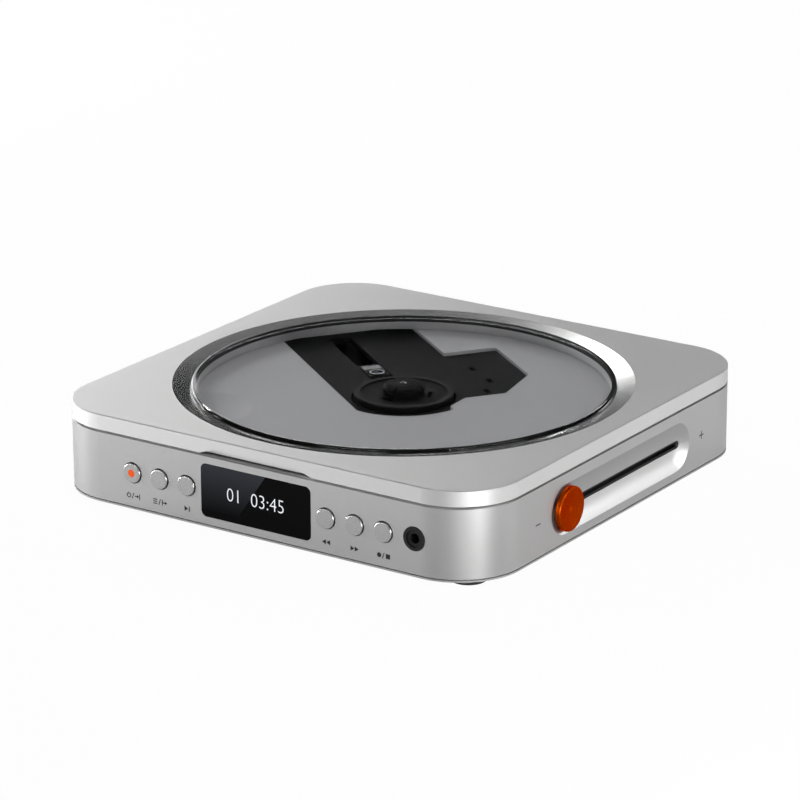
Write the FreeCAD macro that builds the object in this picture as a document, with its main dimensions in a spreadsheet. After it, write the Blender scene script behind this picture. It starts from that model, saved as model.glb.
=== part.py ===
import FreeCAD, Part
import math
import os
import Sketcher

# Top-loading disc player with a flip-up lid, a round window, an open-to-view drive and a side fader.
# All lengths are in millimetres. Heights are counted from the lower edge of the case, and the
# case stands foot_height above the surface. The front faces -Y and the fader side faces +X.

os.makedirs("parts", exist_ok=True)
doc = FreeCAD.newDocument("disc_player")

sizes = {
    # Case
    "body_width": 180.0,
    "body_depth": 178.5,
    "corner_radius": 23.2,
    "case_height": 31.9,
    "wall": 3.2,
    "seam_height": 26.1,
    "seam_gap": 0.4,
    "rim_chamfer": 0.5,
    "lid_edge_chamfer": 0.25,
    "foot_height": 2.0,
    "foot_radius": 7.0,
    "foot_inset": 13.0,
    "foot_taper": 0.8,
    "plate_edge": 0.6,
    "plate_step": 0.4,
    "plate_inset": 1.0,
    "fit": 0.2,
    # Deck and the web that carries it
    "deck_height": 25.0,
    "deck_thickness": 1.2,
    "web_thickness": 2.0,
    "web_width": 2.5,
    "web_corner_margin": 14.25,
    "pillar_radius": 4.0,
    "pillar_inset_x": 24.0,
    "pillar_inset_y": 23.25,
    "scallop_inset_x": 40.5,
    "scallop_inset_y": 37.05,
    "scallop_radius": 17.5,
    "scallop_depth": 2.4,
    "scallop_floor": 1.5,
    # Lid
    "lid_plate": 2.2,
    "bezel_width": 6.6,
    "bezel_drop": 1.5,
    "window_margin": 14.35,
    "window_fit": 0.1,
    "window_rim": 1.5,
    "window_step": 0.7,
    "ring_ledge": 1.6,
    "ring_wall": 3.7,
    "ring_clearance": 0.25,
    "gasket_foot": 1.6,
    "notch_low_width": 46.6,
    "notch_high_width": 33.6,
    "notch_height": 2.3,
    "notch_depth": 2.3,
    "liner_height": 27.2,
    "liner_thickness": 1.2,
    "lid_boss_inset_x": 20.0,
    "lid_boss_inset_y": 19.25,
    "lid_boss_radius": 3.5,
    "magnet_radius": 3.0,
    "magnet_thickness": 1.8,
    "lid_magnet_thickness": 1.2,
    "magnet_x": 45.0,
    "magnet_inset": 11.25,
    "bumper_radius": 3.0,
    "bumper_inset": 9.5,
    "bumper_y": 35.0,
    # Hinges
    "hinge_inset": 40.0,
    "hinge_width": 22.0,
    "knuckle_radius": 2.0,
    "knuckle_gap": 0.3,
    "lid_knuckle": 7.8,
    "pin_radius": 0.9,
    "pin_play": 0.05,
    "leaf_thickness": 1.0,
    "leaf_reach": 13.0,
    "leaf_screw_reach": 9.75,
    "leaf_screw_x": 7.0,
    "small_head_radius": 1.6,
    "small_head": 0.5,
    "small_shank_radius": 0.8,
    "small_shank": 3.0,
    # Fasteners
    "head_radius": 2.2,
    "head_height": 0.5,
    "shank_radius": 1.2,
    "screw_length": 9.0,
    "deck_screw_length": 6.0,
    "lid_screw_length": 2.2,
    "hole_play": 0.1,
    # Front controls
    "control_height": 13.3,
    "button_radius": 3.55,
    "button_play": 0.3,
    "button_proud": 0.8,
    "button_travel": 0.5,
    "button_inner_share": 0.16056,
    "button_pitch_share": 0.064167,
    "button_flange_radius": 4.3,
    "button_flange": 0.8,
    "button_stem_radius": 0.8,
    "button_edge": 0.35,
    "dot_radius": 1.4,
    "dot_depth": 0.9,
    "switch_size": 6.0,
    "switch_depth": 3.5,
    "switch_reach": 1.0,
    "switch_offset": 3.65,
    "board_thickness": 1.6,
    "front_board_right_share": 0.316667,
    "front_board_left_share": 0.333333,
    "display_share": 0.253333,
    "display_height": 19.2,
    "display_corner": 2.2,
    "display_thickness": 2.0,
    "display_ledge": 2.0,
    "display_module_thickness": 2.5,
    "jack_share": 0.356667,
    "jack_radius": 4.2,
    "jack_height": 13.4,
    "jack_nose_radius": 3.1,
    "jack_bore": 1.8,
    "jack_length": 14.0,
    "jack_back": 0.9,
    "jack_body_width": 9.0,
    "jack_body_height": 9.6,
    "jack_collar_proud": 0.2,
    "jack_nose_recess": 0.35,
    # Fader side
    "dish_height": 12.8,
    "dish_length": 91.0,
    "dish_width": 17.7,
    "dish_depth": 2.0,
    "dish_backing": 1.8,
    "slot_length": 81.6,
    "slot_width": 2.9,
    "liner_slot_width": 1.5,
    "liner_slot_length": 79.4,
    "liner_flange": 1.6,
    "liner_flange_thickness": 0.8,
    "lever_thickness": 0.9,
    "lever_length": 5.0,
    "lever_reach": 7.0,
    "knob_radius": 7.85,
    "knob_proud": 1.9,
    "knob_edge": 2.0,
    "knob_boss_radius": 2.6,
    "knob_boss_depth": 1.1,
    "knob_dish": 0.35,
    "knob_dish_radius": 6.6,
    "knob_round": 0.45,
    "fader_travel": 71.0,
    "pot_length": 88.0,
    "pot_height": 10.0,
    "pot_depth": 9.0,
    # Rear sockets
    "rear_opening_width": 84.0,
    "rear_opening_height": 13.0,
    "rear_opening_corner": 2.0,
    "rear_height": 12.8,
    "rear_panel_flange": 2.4,
    "rear_panel_thickness": 1.5,
    "rear_panel_recess": 1.0,
    "phono_pitch": 14.0,
    "phono_first_x": 30.0,
    "phono_radius": 4.15,
    "phono_wall": 0.55,
    "phono_length": 8.5,
    "phono_nut_radius": 5.4,
    "phono_nut": 1.2,
    "phono_bore": 1.6,
    "phono_body": 9.0,
    "usb_x": 24.0,
    "usb_width": 8.34,
    "usb_opening": 2.56,
    "usb_shell": 0.3,
    "usb_depth": 7.3,
    # Boards on the bottom plate
    "main_board_height": 5.0,
    "main_board_side_room": 87.0,
    "main_board_end_room": 36.5,
    "main_board_x": 10.5,
    "main_board_y": 11.0,
    "standoff_radius": 2.5,
    "standoff_inset": 5.0,
    "chip_size": 14.0,
    "small_chip_size": 9.0,
    "chip_height": 1.4,
    "capacitor_radius": 3.0,
    "capacitor_height": 2.2,
    # Drive, in its own turned frame with the hub at the origin and the pickup moving along +Y
    "drive_angle": 53.5,
    "cut_left": 21.6,
    "cut_radius": 24.8,
    "cut_step_x": 10.8,
    "cut_step_y": 18.6,
    "cut_corner_x": 18.5,
    "cut_front_y": 12.2,
    "lobe_corner_x": 33.8,
    "lobe_end_x": 49.0,
    "lobe_bend": 0.4,
    "lobe_corner_y": 4.5,
    "lobe_back_y": 37.6,
    "cut_right": 28.8,
    "cut_end_margin": 13.25,
    "chassis_overlap": 3.0,
    "chassis_thickness": 2.0,
    "chassis_gap": 0.15,
    "well_radius": 18.6,
    "well_wall": 1.2,
    "well_floor": 1.2,
    "well_drop": 2.45,
    "slot_half": 4.3,
    "slot_start": 20.9,
    "slot_end_inset": 5.0,
    "post_radius": 2.6,
    "damper_radius": 3.6,
    "damper_height": 2.0,
    "platform_radius": 17.7,
    "platform_top": 25.1,
    "platform_bottom": 23.1,
    "platform_edge": 0.4,
    "pad_inner": 15.6,
    "pad_outer": 17.3,
    "pad_top": 25.7,
    "pad_rebate": 0.3,
    "hub_radius": 7.4,
    "hub_crown_radius": 6.5,
    "hub_tip_radius": 4.5,
    "hub_shoulder": 27.5,
    "hub_top": 28.9,
    "claw_radius": 7.75,
    "claw_width": 2.6,
    "claw_slit": 0.6,
    "claw_count": 3.0,
    "shaft_radius": 1.0,
    "shaft_tip_radius": 0.5,
    "shaft_top": 29.3,
    "shaft_bottom": 12.0,
    "motor_radius": 13.0,
    "motor_height": 9.2,
    "motor_neck_radius": 3.1,
    "rod_x": 13.0,
    "rod_radius": 1.5,
    "rod_play": 0.05,
    "rod_height": 17.0,
    "rod_start": 15.0,
    "rod_overrun": 1.0,
    "tab_width": 4.0,
    "tab_thickness": 2.0,
    "lens_y": 28.5,
    "sled_front": 3.2,
    "sled_back": 16.0,
    "sled_half": 15.5,
    "sled_bottom": 13.2,
    "sled_clearance": 0.3,
    "turret_half": 3.8,
    "turret_back": 8.5,
    "turret_top": 23.7,
    "lens_well": 3.4,
    "lens_well_floor": 20.7,
    "carrier_radius": 2.9,
    "carrier_bottom": 21.5,
    "carrier_top": 24.0,
    "lens_radius": 2.0,
    "lens_crown_radius": 1.2,
    "lens_thickness": 1.1,
    "gear_module": 0.5,
    "tooth_tip": 0.9,
    "tooth_root": 1.2,
    "tooth_lean": 0.36,
    "gear_x": 20.0,
    "gear_y": 44.0,
    "pinion_teeth": 12.0,
    "wheel_teeth": 40.0,
    "motor_teeth": 10.0,
    "rack_teeth": 24.0,
    "rack_lead": 20.0,
    "rack_bottom": 17.4,
    "rack_thickness": 2.0,
    "backlash": 0.2,
    "wheel_bottom": 10.5,
    "wheel_thickness": 2.0,
    "gear_bore": 1.05,
    "gear_axle_radius": 1.0,
    "gear_hub_radius": 1.9,
    "gear_end_play": 0.3,
    "sled_motor_radius": 7.0,
    "sled_motor_height": 8.0,
    "sled_motor_shaft": 0.75,
    "sled_motor_turn": 36.87,
}

sheet = doc.addObject("Spreadsheet::Sheet", "Sizes")
for row, (name, number) in enumerate(sizes.items(), start=1):
    sheet.set(f"A{row}", name)
    sheet.set(f"B{row}", str(number))
    sheet.setAlias(f"B{row}", name)
doc.recompute()


class Length:
    # A size together with the sheet expression that gives it, so that sums of sizes stay bound.
    def __init__(self, value, text):
        self.value = value
        self.text = text

    def __add__(self, other):
        other = length(other)
        return Length(self.value + other.value, f"({self.text} + {other.text})")

    def __sub__(self, other):
        other = length(other)
        return Length(self.value - other.value, f"({self.text} - {other.text})")

    def __mul__(self, other):
        other = length(other)
        return Length(self.value * other.value, f"({self.text} * {other.text})")

    def __truediv__(self, other):
        other = length(other)
        return Length(self.value / other.value, f"({self.text} / {other.text})")

    def __neg__(self):
        return Length(-self.value, f"(0 - {self.text})")

    def __radd__(self, other):
        return length(other) + self

    def __rmul__(self, other):
        return length(other) * self

    def __rsub__(self, other):
        return length(other) - self


def length(number):
    if isinstance(number, Length):
        return number
    return Length(float(number), repr(float(number)))


def root(number):
    return Length(math.sqrt(number.value), f"sqrt({number.text})")


def least(first, second):
    return Length(min(first.value, second.value), f"min({first.text}; {second.text})")


class Named:
    def __getattr__(self, name):
        return Length(sizes[name], f"Sizes.{name}")


dim = Named()
subparts = []
FULL_TURN = 360

# Derived levels, each above the lower edge of the case
plate_top = dim.plate_edge + dim.plate_step
base_top = dim.seam_height - dim.seam_gap / 2
lid_bottom = dim.seam_height + dim.seam_gap / 2
deck_underside = dim.deck_height - dim.deck_thickness
web_underside = deck_underside - dim.web_thickness
inner_width = dim.body_width - 2 * dim.wall
inner_depth = dim.body_depth - 2 * dim.wall
inner_corner = dim.corner_radius - dim.wall
lid_underside = dim.case_height - dim.lid_plate
bezel_floor = dim.case_height - dim.bezel_drop
gasket_floor = bezel_floor - dim.window_step - dim.gasket_foot
half_span = least(dim.body_width, dim.body_depth) / 2
web_corner = half_span - dim.web_corner_margin
window_radius = half_span - dim.window_margin
ring_inner = window_radius - dim.ring_ledge
ring_outer = ring_inner + dim.ring_wall
ring_bottom = dim.deck_height + dim.ring_clearance
chassis_top = deck_underside - dim.chassis_gap
chassis_bottom = chassis_top - dim.chassis_thickness
front_y = -dim.body_depth / 2
side_x = dim.body_width / 2
cut_end = half_span - dim.cut_end_margin
rod_finish = cut_end + dim.rod_overrun
display_width = dim.body_width * dim.display_share
jack_x = dim.body_width * dim.jack_share
hinge_x = side_x - dim.hinge_inset
board_width = dim.body_width - dim.main_board_side_room
board_depth = dim.body_depth - dim.main_board_end_room


def place(thing, x=0, y=0, z=0, axis=(0, 0, 1), turn=0):
    turn = length(turn)
    spot = [length(x), length(y), length(z) + dim.foot_height]
    thing.Placement = FreeCAD.Placement(
        FreeCAD.Vector(*[part.value for part in spot]),
        FreeCAD.Rotation(FreeCAD.Vector(*axis), turn.value),
    )
    for letter, part in zip("xyz", spot):
        thing.setExpression(f"Placement.Base.{letter}", part.text)
    if turn.value and "Sizes" in turn.text:
        thing.setExpression("Placement.Rotation.Angle", turn.text)


def new_body(label, **where):
    body = doc.addObject("PartDesign::Body", label)
    body.Label = label
    body.AllowCompound = True
    place(body, **where)
    subparts.append(body)
    return body


def origin_feature(body, role):
    return next(item for item in body.Origin.OriginFeatures if item.Role == role)


def new_sketch(body, role="XY_Plane", level=0, shift_x=0, shift_y=0, turn=0):
    # A sketch on one of the body's own planes, moved along its normal by the level.
    sketch = body.newObject("Sketcher::SketchObject", "Sketch")
    sketch.AttachmentSupport = (origin_feature(body, role), [""])
    sketch.MapMode = "FlatFace"
    turn = length(turn)
    shift = [length(shift_x), length(shift_y), length(level)]
    sketch.AttachmentOffset = FreeCAD.Placement(
        FreeCAD.Vector(*[part.value for part in shift]),
        FreeCAD.Rotation(FreeCAD.Vector(0, 0, 1), turn.value),
    )
    for letter, part in zip("xyz", shift):
        if "Sizes" in part.text:
            sketch.setExpression(f"AttachmentOffset.Base.{letter}", part.text)
    if turn.value:
        sketch.setExpression("AttachmentOffset.Rotation.Angle", turn.text)
    return sketch


def fix(sketch, kind, *details):
    # Adds one constraint whose value comes last and is bound to the sheet.
    value = details[-1]
    index = sketch.addConstraint(Sketcher.Constraint(kind, *details[:-1], value.value))
    if "Sizes" in value.text:
        sketch.setExpression(f"Constraints[{index}]", value.text)


def pin_point(sketch, edge, end, x, y):
    # Holds a point of an edge at x and y from the sketch's origin. None leaves that one free.
    if x is not None:
        if length(x).value == 0:
            sketch.addConstraint(Sketcher.Constraint("PointOnObject", edge, end, -2))
        else:
            fix(sketch, "DistanceX", -1, 1, edge, end, length(x))
    if y is not None:
        if length(y).value == 0:
            sketch.addConstraint(Sketcher.Constraint("PointOnObject", edge, end, -1))
        else:
            fix(sketch, "DistanceY", -1, 1, edge, end, length(y))


def outline(sketch, points):
    # A closed outline of straight edges through the given points.
    spots = [FreeCAD.Vector(length(x).value, length(y).value, 0) for x, y in points]
    count = len(points)
    first = sketch.GeometryCount
    for i in range(count):
        sketch.addGeometry(Part.LineSegment(spots[i], spots[(i + 1) % count]), False)
    for i in range(count):
        ends = (first + i, 2, first + (i + 1) % count, 1)
        sketch.addConstraint(Sketcher.Constraint("Coincident", *ends))
    for i, (x, y) in enumerate(points):
        pin_point(sketch, first + i, 1, x, y)


def circle(sketch, radius, x=0, y=0):
    centre = FreeCAD.Vector(length(x).value, length(y).value, 0)
    edge = sketch.GeometryCount
    sketch.addGeometry(Part.Circle(centre, FreeCAD.Vector(0, 0, 1), radius.value), False)
    pin_point(sketch, edge, 3, x, y)
    fix(sketch, "Radius", edge, radius)


def corners(half_x, half_y):
    return [(half_x, half_y), (-half_x, half_y), (-half_x, -half_y), (half_x, -half_y)]


def rectangle(sketch, x_low, x_high, y_low, y_high):
    outline(sketch, [(x_low, y_low), (x_high, y_low), (x_high, y_high), (x_low, y_high)])


def rounded(sketch, width, height, radius, x=0, y=0):
    # A rectangle with round corners about the given centre.
    half_x, half_y = width.value / 2, height.value / 2
    middle_x, middle_y, bend = length(x).value, length(y).value, radius.value
    first = sketch.GeometryCount
    turns = [(1, 1, 0), (-1, 1, 90), (-1, -1, 180), (1, -1, 270)]
    for sign_x, sign_y, start in turns:
        centre = FreeCAD.Vector(
            middle_x + sign_x * (half_x - bend), middle_y + sign_y * (half_y - bend), 0
        )
        ring = Part.Circle(centre, FreeCAD.Vector(0, 0, 1), bend)
        arc = Part.ArcOfCircle(ring, math.radians(start), math.radians(start + 90))
        sketch.addGeometry(arc, False)
    for i in range(4):
        start = sketch.getPoint(first + i, 2)
        end = sketch.getPoint(first + (i + 1) % 4, 1)
        sketch.addGeometry(Part.LineSegment(start, end), False)
    for i in range(4):
        line = first + 4 + i
        sketch.addConstraint(Sketcher.Constraint("Tangent", first + i, 2, line, 1))
        sketch.addConstraint(Sketcher.Constraint("Tangent", line, 2, first + (i + 1) % 4, 1))
        kind = "Horizontal" if i % 2 == 0 else "Vertical"
        sketch.addConstraint(Sketcher.Constraint(kind, line))
    for i in (1, 2, 3):
        sketch.addConstraint(Sketcher.Constraint("Equal", first, first + i))
    fix(sketch, "Radius", first, radius)
    inset_x = width / 2 - radius
    inset_y = height / 2 - radius
    pin_point(sketch, first, 3, x + inset_x, y + inset_y)
    pin_point(sketch, first + 2, 3, x - inset_x, y - inset_y)


def pad(body, sketch, depth, reverse=False):
    feature = body.newObject("PartDesign::Pad", "Pad")
    feature.Profile = sketch
    feature.Reversed = reverse
    feature.setExpression("Length", length(depth).text)
    feature.Length = length(depth).value
    return feature


def pocket(body, sketch, depth, reverse=False):
    feature = body.newObject("PartDesign::Pocket", "Pocket")
    feature.Profile = sketch
    feature.Reversed = reverse
    feature.setExpression("Length", length(depth).text)
    feature.Length = length(depth).value
    return feature


def spin(body, sketch, kind="PartDesign::Revolution"):
    feature = body.newObject(kind, "Turn")
    feature.Profile = sketch
    feature.ReferenceAxis = (sketch, ["V_Axis"])
    feature.Angle = FULL_TURN
    return feature


def turned(label, profile, **where):
    # A turned piece: the profile's points are radius and height along the piece's own Z axis.
    body = new_body(label, **where)
    sketch = new_sketch(body, "XZ_Plane")
    outline(sketch, profile)
    spin(body, sketch)
    return body


def dish(body, radius, depth, level, x=0, y=0):
    # A shallow bowl cut into a face that looks up the body's own Z axis.
    sketch = new_sketch(body, "XZ_Plane", level=-y, shift_x=x, shift_y=level)
    bowl = (radius * radius + depth * depth) / (2 * depth)
    low = FreeCAD.Vector(0, -depth.value, 0)
    rim = FreeCAD.Vector(radius.value, 0, 0)
    centre = FreeCAD.Vector(0, bowl.value - depth.value, 0)
    angle = math.atan2(-centre.y, radius.value)
    ring = Part.Circle(centre, FreeCAD.Vector(0, 0, 1), bowl.value)
    sketch.addGeometry(Part.ArcOfCircle(ring, -math.pi / 2, angle), False)
    top = FreeCAD.Vector(0, 0, 0)
    sketch.addGeometry(Part.LineSegment(rim, top), False)
    sketch.addGeometry(Part.LineSegment(top, low), False)
    sketch.addConstraint(Sketcher.Constraint("Coincident", 0, 2, 1, 1))
    sketch.addConstraint(Sketcher.Constraint("Coincident", 1, 2, 2, 1))
    sketch.addConstraint(Sketcher.Constraint("Coincident", 2, 2, 0, 1))
    sketch.addConstraint(Sketcher.Constraint("Coincident", 1, 2, -1, 1))
    sketch.addConstraint(Sketcher.Constraint("PointOnObject", 0, 3, -2))
    pin_point(sketch, 0, 2, radius, 0)
    pin_point(sketch, 0, 1, 0, -depth)
    spin(body, sketch, "PartDesign::Groove")


def edge_names(feature, test):
    return [f"Edge{i + 1}" for i, edge in enumerate(feature.Shape.Edges) if test(edge)]


def soften(body, kind, size, test):
    # Rounds or chamfers the edges of the body so far that pass the test.
    doc.recompute()
    base = body.Tip
    names = edge_names(base, test)
    feature = body.newObject(f"PartDesign::{kind}", kind)
    feature.Base = (base, names)
    name = "Radius" if kind == "Fillet" else "Size"
    feature.setExpression(name, size.text)
    return feature


def flat_at(level, reach=0.0):
    # Picks edges that lie at one height, at least reach away from the body's own Z axis.
    def test(edge):
        box = edge.BoundBox
        if abs(box.ZMin - level) > 1e-4 or abs(box.ZMax - level) > 1e-4:
            return False
        far = max(abs(box.XMin), abs(box.XMax), abs(box.YMin), abs(box.YMax))
        return far > reach
    return test


def mirrored(body, features, role="YZ_Plane"):
    feature = body.newObject("PartDesign::Mirrored", "Mirror")
    feature.Originals = features
    feature.MirrorPlane = (origin_feature(body, role), [""])
    body.Tip = feature
    return feature


def around(body, features, count):
    feature = body.newObject("PartDesign::PolarPattern", "Around")
    feature.Originals = features
    feature.Axis = (origin_feature(body, "Z_Axis"), [""])
    feature.Angle = FULL_TURN
    feature.setExpression("Occurrences", count.text)
    feature.Occurrences = int(round(count.value))
    body.Tip = feature
    return feature


def studs(body, radius, low, high, spots):
    # Round studs of one radius between two heights, one at each spot.
    sketch = new_sketch(body, level=low)
    for x, y in spots:
        circle(sketch, radius, x, y)
    return pad(body, sketch, high - low)


def holes(body, radius, high, depth, spots):
    # Round holes that start at a height and go down.
    sketch = new_sketch(body, level=high)
    for x, y in spots:
        circle(sketch, radius, x, y)
    return pocket(body, sketch, depth)


def block(body, x_low, x_high, y_low, y_high, z_low, z_high):
    sketch = new_sketch(body, level=z_low)
    rectangle(sketch, x_low, x_high, y_low, y_high)
    return pad(body, sketch, z_high - z_low)


def carve(body, x_low, x_high, y_low, y_high, z_low, z_high):
    sketch = new_sketch(body, level=z_high)
    rectangle(sketch, x_low, x_high, y_low, y_high)
    return pocket(body, sketch, z_high - z_low)


pillar_spots = corners(side_x - dim.pillar_inset_x, dim.body_depth / 2 - dim.pillar_inset_y)
lid_boss_spots = corners(side_x - dim.lid_boss_inset_x, dim.body_depth / 2 - dim.lid_boss_inset_y)
scallop_spot = (dim.scallop_inset_x - side_x, dim.scallop_inset_y - dim.body_depth / 2)
magnet_y = front_y + dim.magnet_inset
magnet_spots = [(dim.magnet_x, magnet_y), (-dim.magnet_x, magnet_y)]
button_inner_x = dim.body_width * dim.button_inner_share
button_pitch = dim.body_width * dim.button_pitch_share
button_spots = [
    -button_inner_x - 2 * button_pitch,
    -button_inner_x - button_pitch,
    -button_inner_x,
    button_inner_x,
    button_inner_x + button_pitch,
    button_inner_x + 2 * button_pitch,
]
hinge_y = dim.body_depth / 2
leaf_screw_y = hinge_y - dim.leaf_screw_reach
leaf_screw_spots = [
    (sign * hinge_x + offset, leaf_screw_y)
    for sign in (1, -1)
    for offset in (dim.leaf_screw_x, -dim.leaf_screw_x)
]


# Case: a deep rounded frame with a web near its top that carries the deck
def make_base_shell():
    body = new_body("base_shell")
    sketch = new_sketch(body, level=plate_top)
    rounded(sketch, dim.body_width, dim.body_depth, dim.corner_radius)
    pad(body, sketch, base_top - plate_top)
    sketch = new_sketch(body, level=base_top)
    rounded(sketch, inner_width, inner_depth, inner_corner)
    pocket(body, sketch, base_top - deck_underside)
    sketch = new_sketch(body, level=deck_underside)
    web_hole = dim.web_width * 2
    rounded(sketch, inner_width - web_hole, inner_depth - web_hole, web_corner)
    pocket(body, sketch, dim.web_thickness)
    sketch = new_sketch(body, level=web_underside)
    rounded(sketch, inner_width, inner_depth, inner_corner)
    pocket(body, sketch, web_underside - plate_top)
    studs(body, dim.pillar_radius, plate_top, web_underside, pillar_spots)
    hole = dim.shank_radius + dim.hole_play
    holes(body, hole, deck_underside, dim.deck_screw_length + dim.fit, pillar_spots)
    sketch = new_sketch(body, level=plate_top)
    for x, y in pillar_spots:
        circle(sketch, hole, x, y)
    pocket(body, sketch, dim.screw_length + dim.fit - plate_top, reverse=True)
    magnet_hole = dim.magnet_radius + dim.hole_play
    holes(body, magnet_hole, deck_underside, dim.web_thickness, magnet_spots)
    leaf_hole = dim.small_shank_radius + dim.hole_play
    holes(body, leaf_hole, deck_underside, dim.web_thickness, leaf_screw_spots)
    bowl = dim.scallop_radius - dim.scallop_floor + dim.fit * 2
    holes(body, bowl, deck_underside, dim.web_thickness, [scallop_spot])
    cut_front_openings(body)
    cut_fader_side(body)
    cut_rear_side(body)
    rim = flat_at(base_top.value, (dim.body_depth / 2 - dim.wall).value + 0.5)
    soften(body, "Chamfer", dim.rim_chamfer, rim)


def cut_front_openings(body):
    face = dim.body_depth / 2
    sketch = new_sketch(body, "XZ_Plane", level=face)
    for x in button_spots:
        circle(sketch, dim.button_radius + dim.button_play, x, dim.control_height)
    circle(sketch, dim.jack_radius + dim.hole_play, jack_x, dim.jack_height)
    pocket(body, sketch, dim.wall + dim.fit * 3)
    sketch = new_sketch(body, "XZ_Plane", level=face)
    high = dim.control_height
    rounded(sketch, display_width, dim.display_height, dim.display_corner, 0, high)
    pocket(body, sketch, dim.display_thickness)
    sketch = new_sketch(body, "XZ_Plane", level=face - dim.display_thickness)
    ledge = 2 * dim.display_ledge
    width = display_width - ledge
    height = dim.display_height - ledge
    rounded(sketch, width, height, dim.display_corner / 2, 0, high)
    pocket(body, sketch, dim.wall - dim.display_thickness)


def cut_fader_side(body):
    # The thicker wall behind the dish, the long spherical-ended dish and the lever's slot.
    inner_x = side_x - dim.wall
    half = dim.dish_length / 2
    low = dim.dish_height - dim.dish_width / 2
    high = dim.dish_height + dim.dish_width / 2
    block(body, inner_x - dim.dish_backing, inner_x, -half, half, low, high)
    half_width = dim.dish_width / 2
    ball = (half_width * half_width + dim.dish_depth * dim.dish_depth) / (2 * dim.dish_depth)
    centre_x = side_x - dim.dish_depth + ball
    reach = half - half_width
    sketch = new_sketch(body, "XY_Plane", level=dim.dish_height, shift_x=centre_x)
    long_capsule(sketch, ball, reach)
    spin(body, sketch, "PartDesign::Groove")
    sketch = new_sketch(body, "YZ_Plane", level=side_x)
    round_end = dim.slot_width / 2 - dim.hole_play / 2
    rounded(sketch, dim.slot_length, dim.slot_width, round_end, 0, dim.dish_height)
    pocket(body, sketch, dim.wall + dim.dish_backing)


def long_capsule(sketch, radius, reach):
    # Half of a capsule on the left of the sketch's V axis, which is also its spin axis.
    r, a = radius.value, reach.value
    up = FreeCAD.Vector(0, 0, 1)
    far, near = FreeCAD.Vector(0, a, 0), FreeCAD.Vector(0, -a, 0)
    quarter = math.pi / 2
    sketch.addGeometry(Part.ArcOfCircle(Part.Circle(far, up, r), quarter, 2 * quarter), False)
    sketch.addGeometry(
        Part.LineSegment(FreeCAD.Vector(-r, a, 0), FreeCAD.Vector(-r, -a, 0)), False
    )
    sketch.addGeometry(Part.ArcOfCircle(Part.Circle(near, up, r), 2 * quarter, 3 * quarter), False)
    low, high = FreeCAD.Vector(0, -a - r, 0), FreeCAD.Vector(0, a + r, 0)
    sketch.addGeometry(Part.LineSegment(low, high), False)
    sketch.addConstraint(Sketcher.Constraint("Tangent", 0, 2, 1, 1))
    sketch.addConstraint(Sketcher.Constraint("Tangent", 1, 2, 2, 1))
    sketch.addConstraint(Sketcher.Constraint("Coincident", 2, 2, 3, 1))
    sketch.addConstraint(Sketcher.Constraint("Coincident", 3, 2, 0, 1))
    sketch.addConstraint(Sketcher.Constraint("PointOnObject", 3, 1, -2))
    sketch.addConstraint(Sketcher.Constraint("PointOnObject", 3, 2, -2))
    pin_point(sketch, 0, 3, 0, reach)
    pin_point(sketch, 2, 3, 0, -reach)
    fix(sketch, "Radius", 0, radius)


def cut_rear_side(body):
    face = dim.body_depth / 2
    sketch = new_sketch(body, "XZ_Plane", level=-face)
    width, height = dim.rear_opening_width, dim.rear_opening_height
    rounded(sketch, width, height, dim.rear_opening_corner, 0, dim.rear_height)
    pocket(body, sketch, dim.wall, reverse=True)
    # A notch for each hinge: shallow under the leaf, deeper round the knuckles
    half = dim.hinge_width / 2 + dim.fit * 2
    knuckle_room = dim.knuckle_radius + dim.knuckle_gap
    for sign in (1, -1):
        low, high = sign * hinge_x - half, sign * hinge_x + half
        carve(body, low, high, face - dim.wall, face, dim.deck_height, base_top)
        deep = dim.seam_height - knuckle_room
        carve(body, low, high, face - knuckle_room, face, deep, base_top)


def make_bottom_plate():
    body = new_body("bottom_plate")
    sketch = new_sketch(body)
    rounded(sketch, dim.body_width, dim.body_depth, dim.corner_radius)
    pad(body, sketch, dim.plate_edge)
    sketch = new_sketch(body, level=dim.plate_edge)
    step = 2 * dim.plate_inset
    corner = dim.corner_radius - dim.plate_inset
    rounded(sketch, dim.body_width - step, dim.body_depth - step, corner)
    pad(body, sketch, dim.plate_step)
    holes(body, dim.shank_radius + dim.hole_play, plate_top, plate_top, pillar_spots)
    sketch = new_sketch(body)
    for x, y in pillar_spots:
        circle(sketch, dim.head_radius + dim.hole_play, x, y)
    pocket(body, sketch, dim.head_height, reverse=True)


def make_feet():
    body = new_body("feet")
    spots = corners(side_x - dim.foot_inset, dim.body_depth / 2 - dim.foot_inset)
    studs(body, dim.foot_radius, -dim.foot_height, 0 * dim.foot_height, spots)
    floor = flat_at(-dim.foot_height.value)
    soften(body, "Chamfer", dim.foot_taper, floor)


def screws(label, spots, head_radius, head, shank_radius, shank, level, down):
    # Flush cheese-head screws. Down says that the shanks point down from the level of the heads.
    body = new_body(label)
    if down:
        studs(body, head_radius, level - head, level, spots)
        studs(body, shank_radius, level - shank, level - head, spots)
    else:
        studs(body, head_radius, level, level + head, spots)
        studs(body, shank_radius, level + head, level + shank, spots)


def make_case_screws():
    big = (dim.head_radius, dim.head_height, dim.shank_radius)
    level = 0 * dim.foot_height
    screws("bottom_screws", pillar_spots, *big, dim.screw_length, level, False)
    screws("deck_screws", pillar_spots, *big, dim.deck_screw_length, dim.deck_height, True)
    small = (dim.small_head_radius, dim.small_head, dim.small_shank_radius, dim.small_shank)
    leaf_top = dim.deck_height + dim.leaf_thickness
    screws("base_hinge_screws", leaf_screw_spots, *small, leaf_top, True)
    screws("lid_hinge_screws", leaf_screw_spots, *small, lid_leaf_bottom, False)
    liner_screw = (dim.small_head_radius, dim.small_head, dim.small_shank_radius)
    shank = dim.lid_screw_length
    screws("lid_screws", lid_boss_spots, *liner_screw, shank, dim.liner_height, False)


lid_leaf_bottom = dim.liner_height - dim.leaf_thickness


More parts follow.
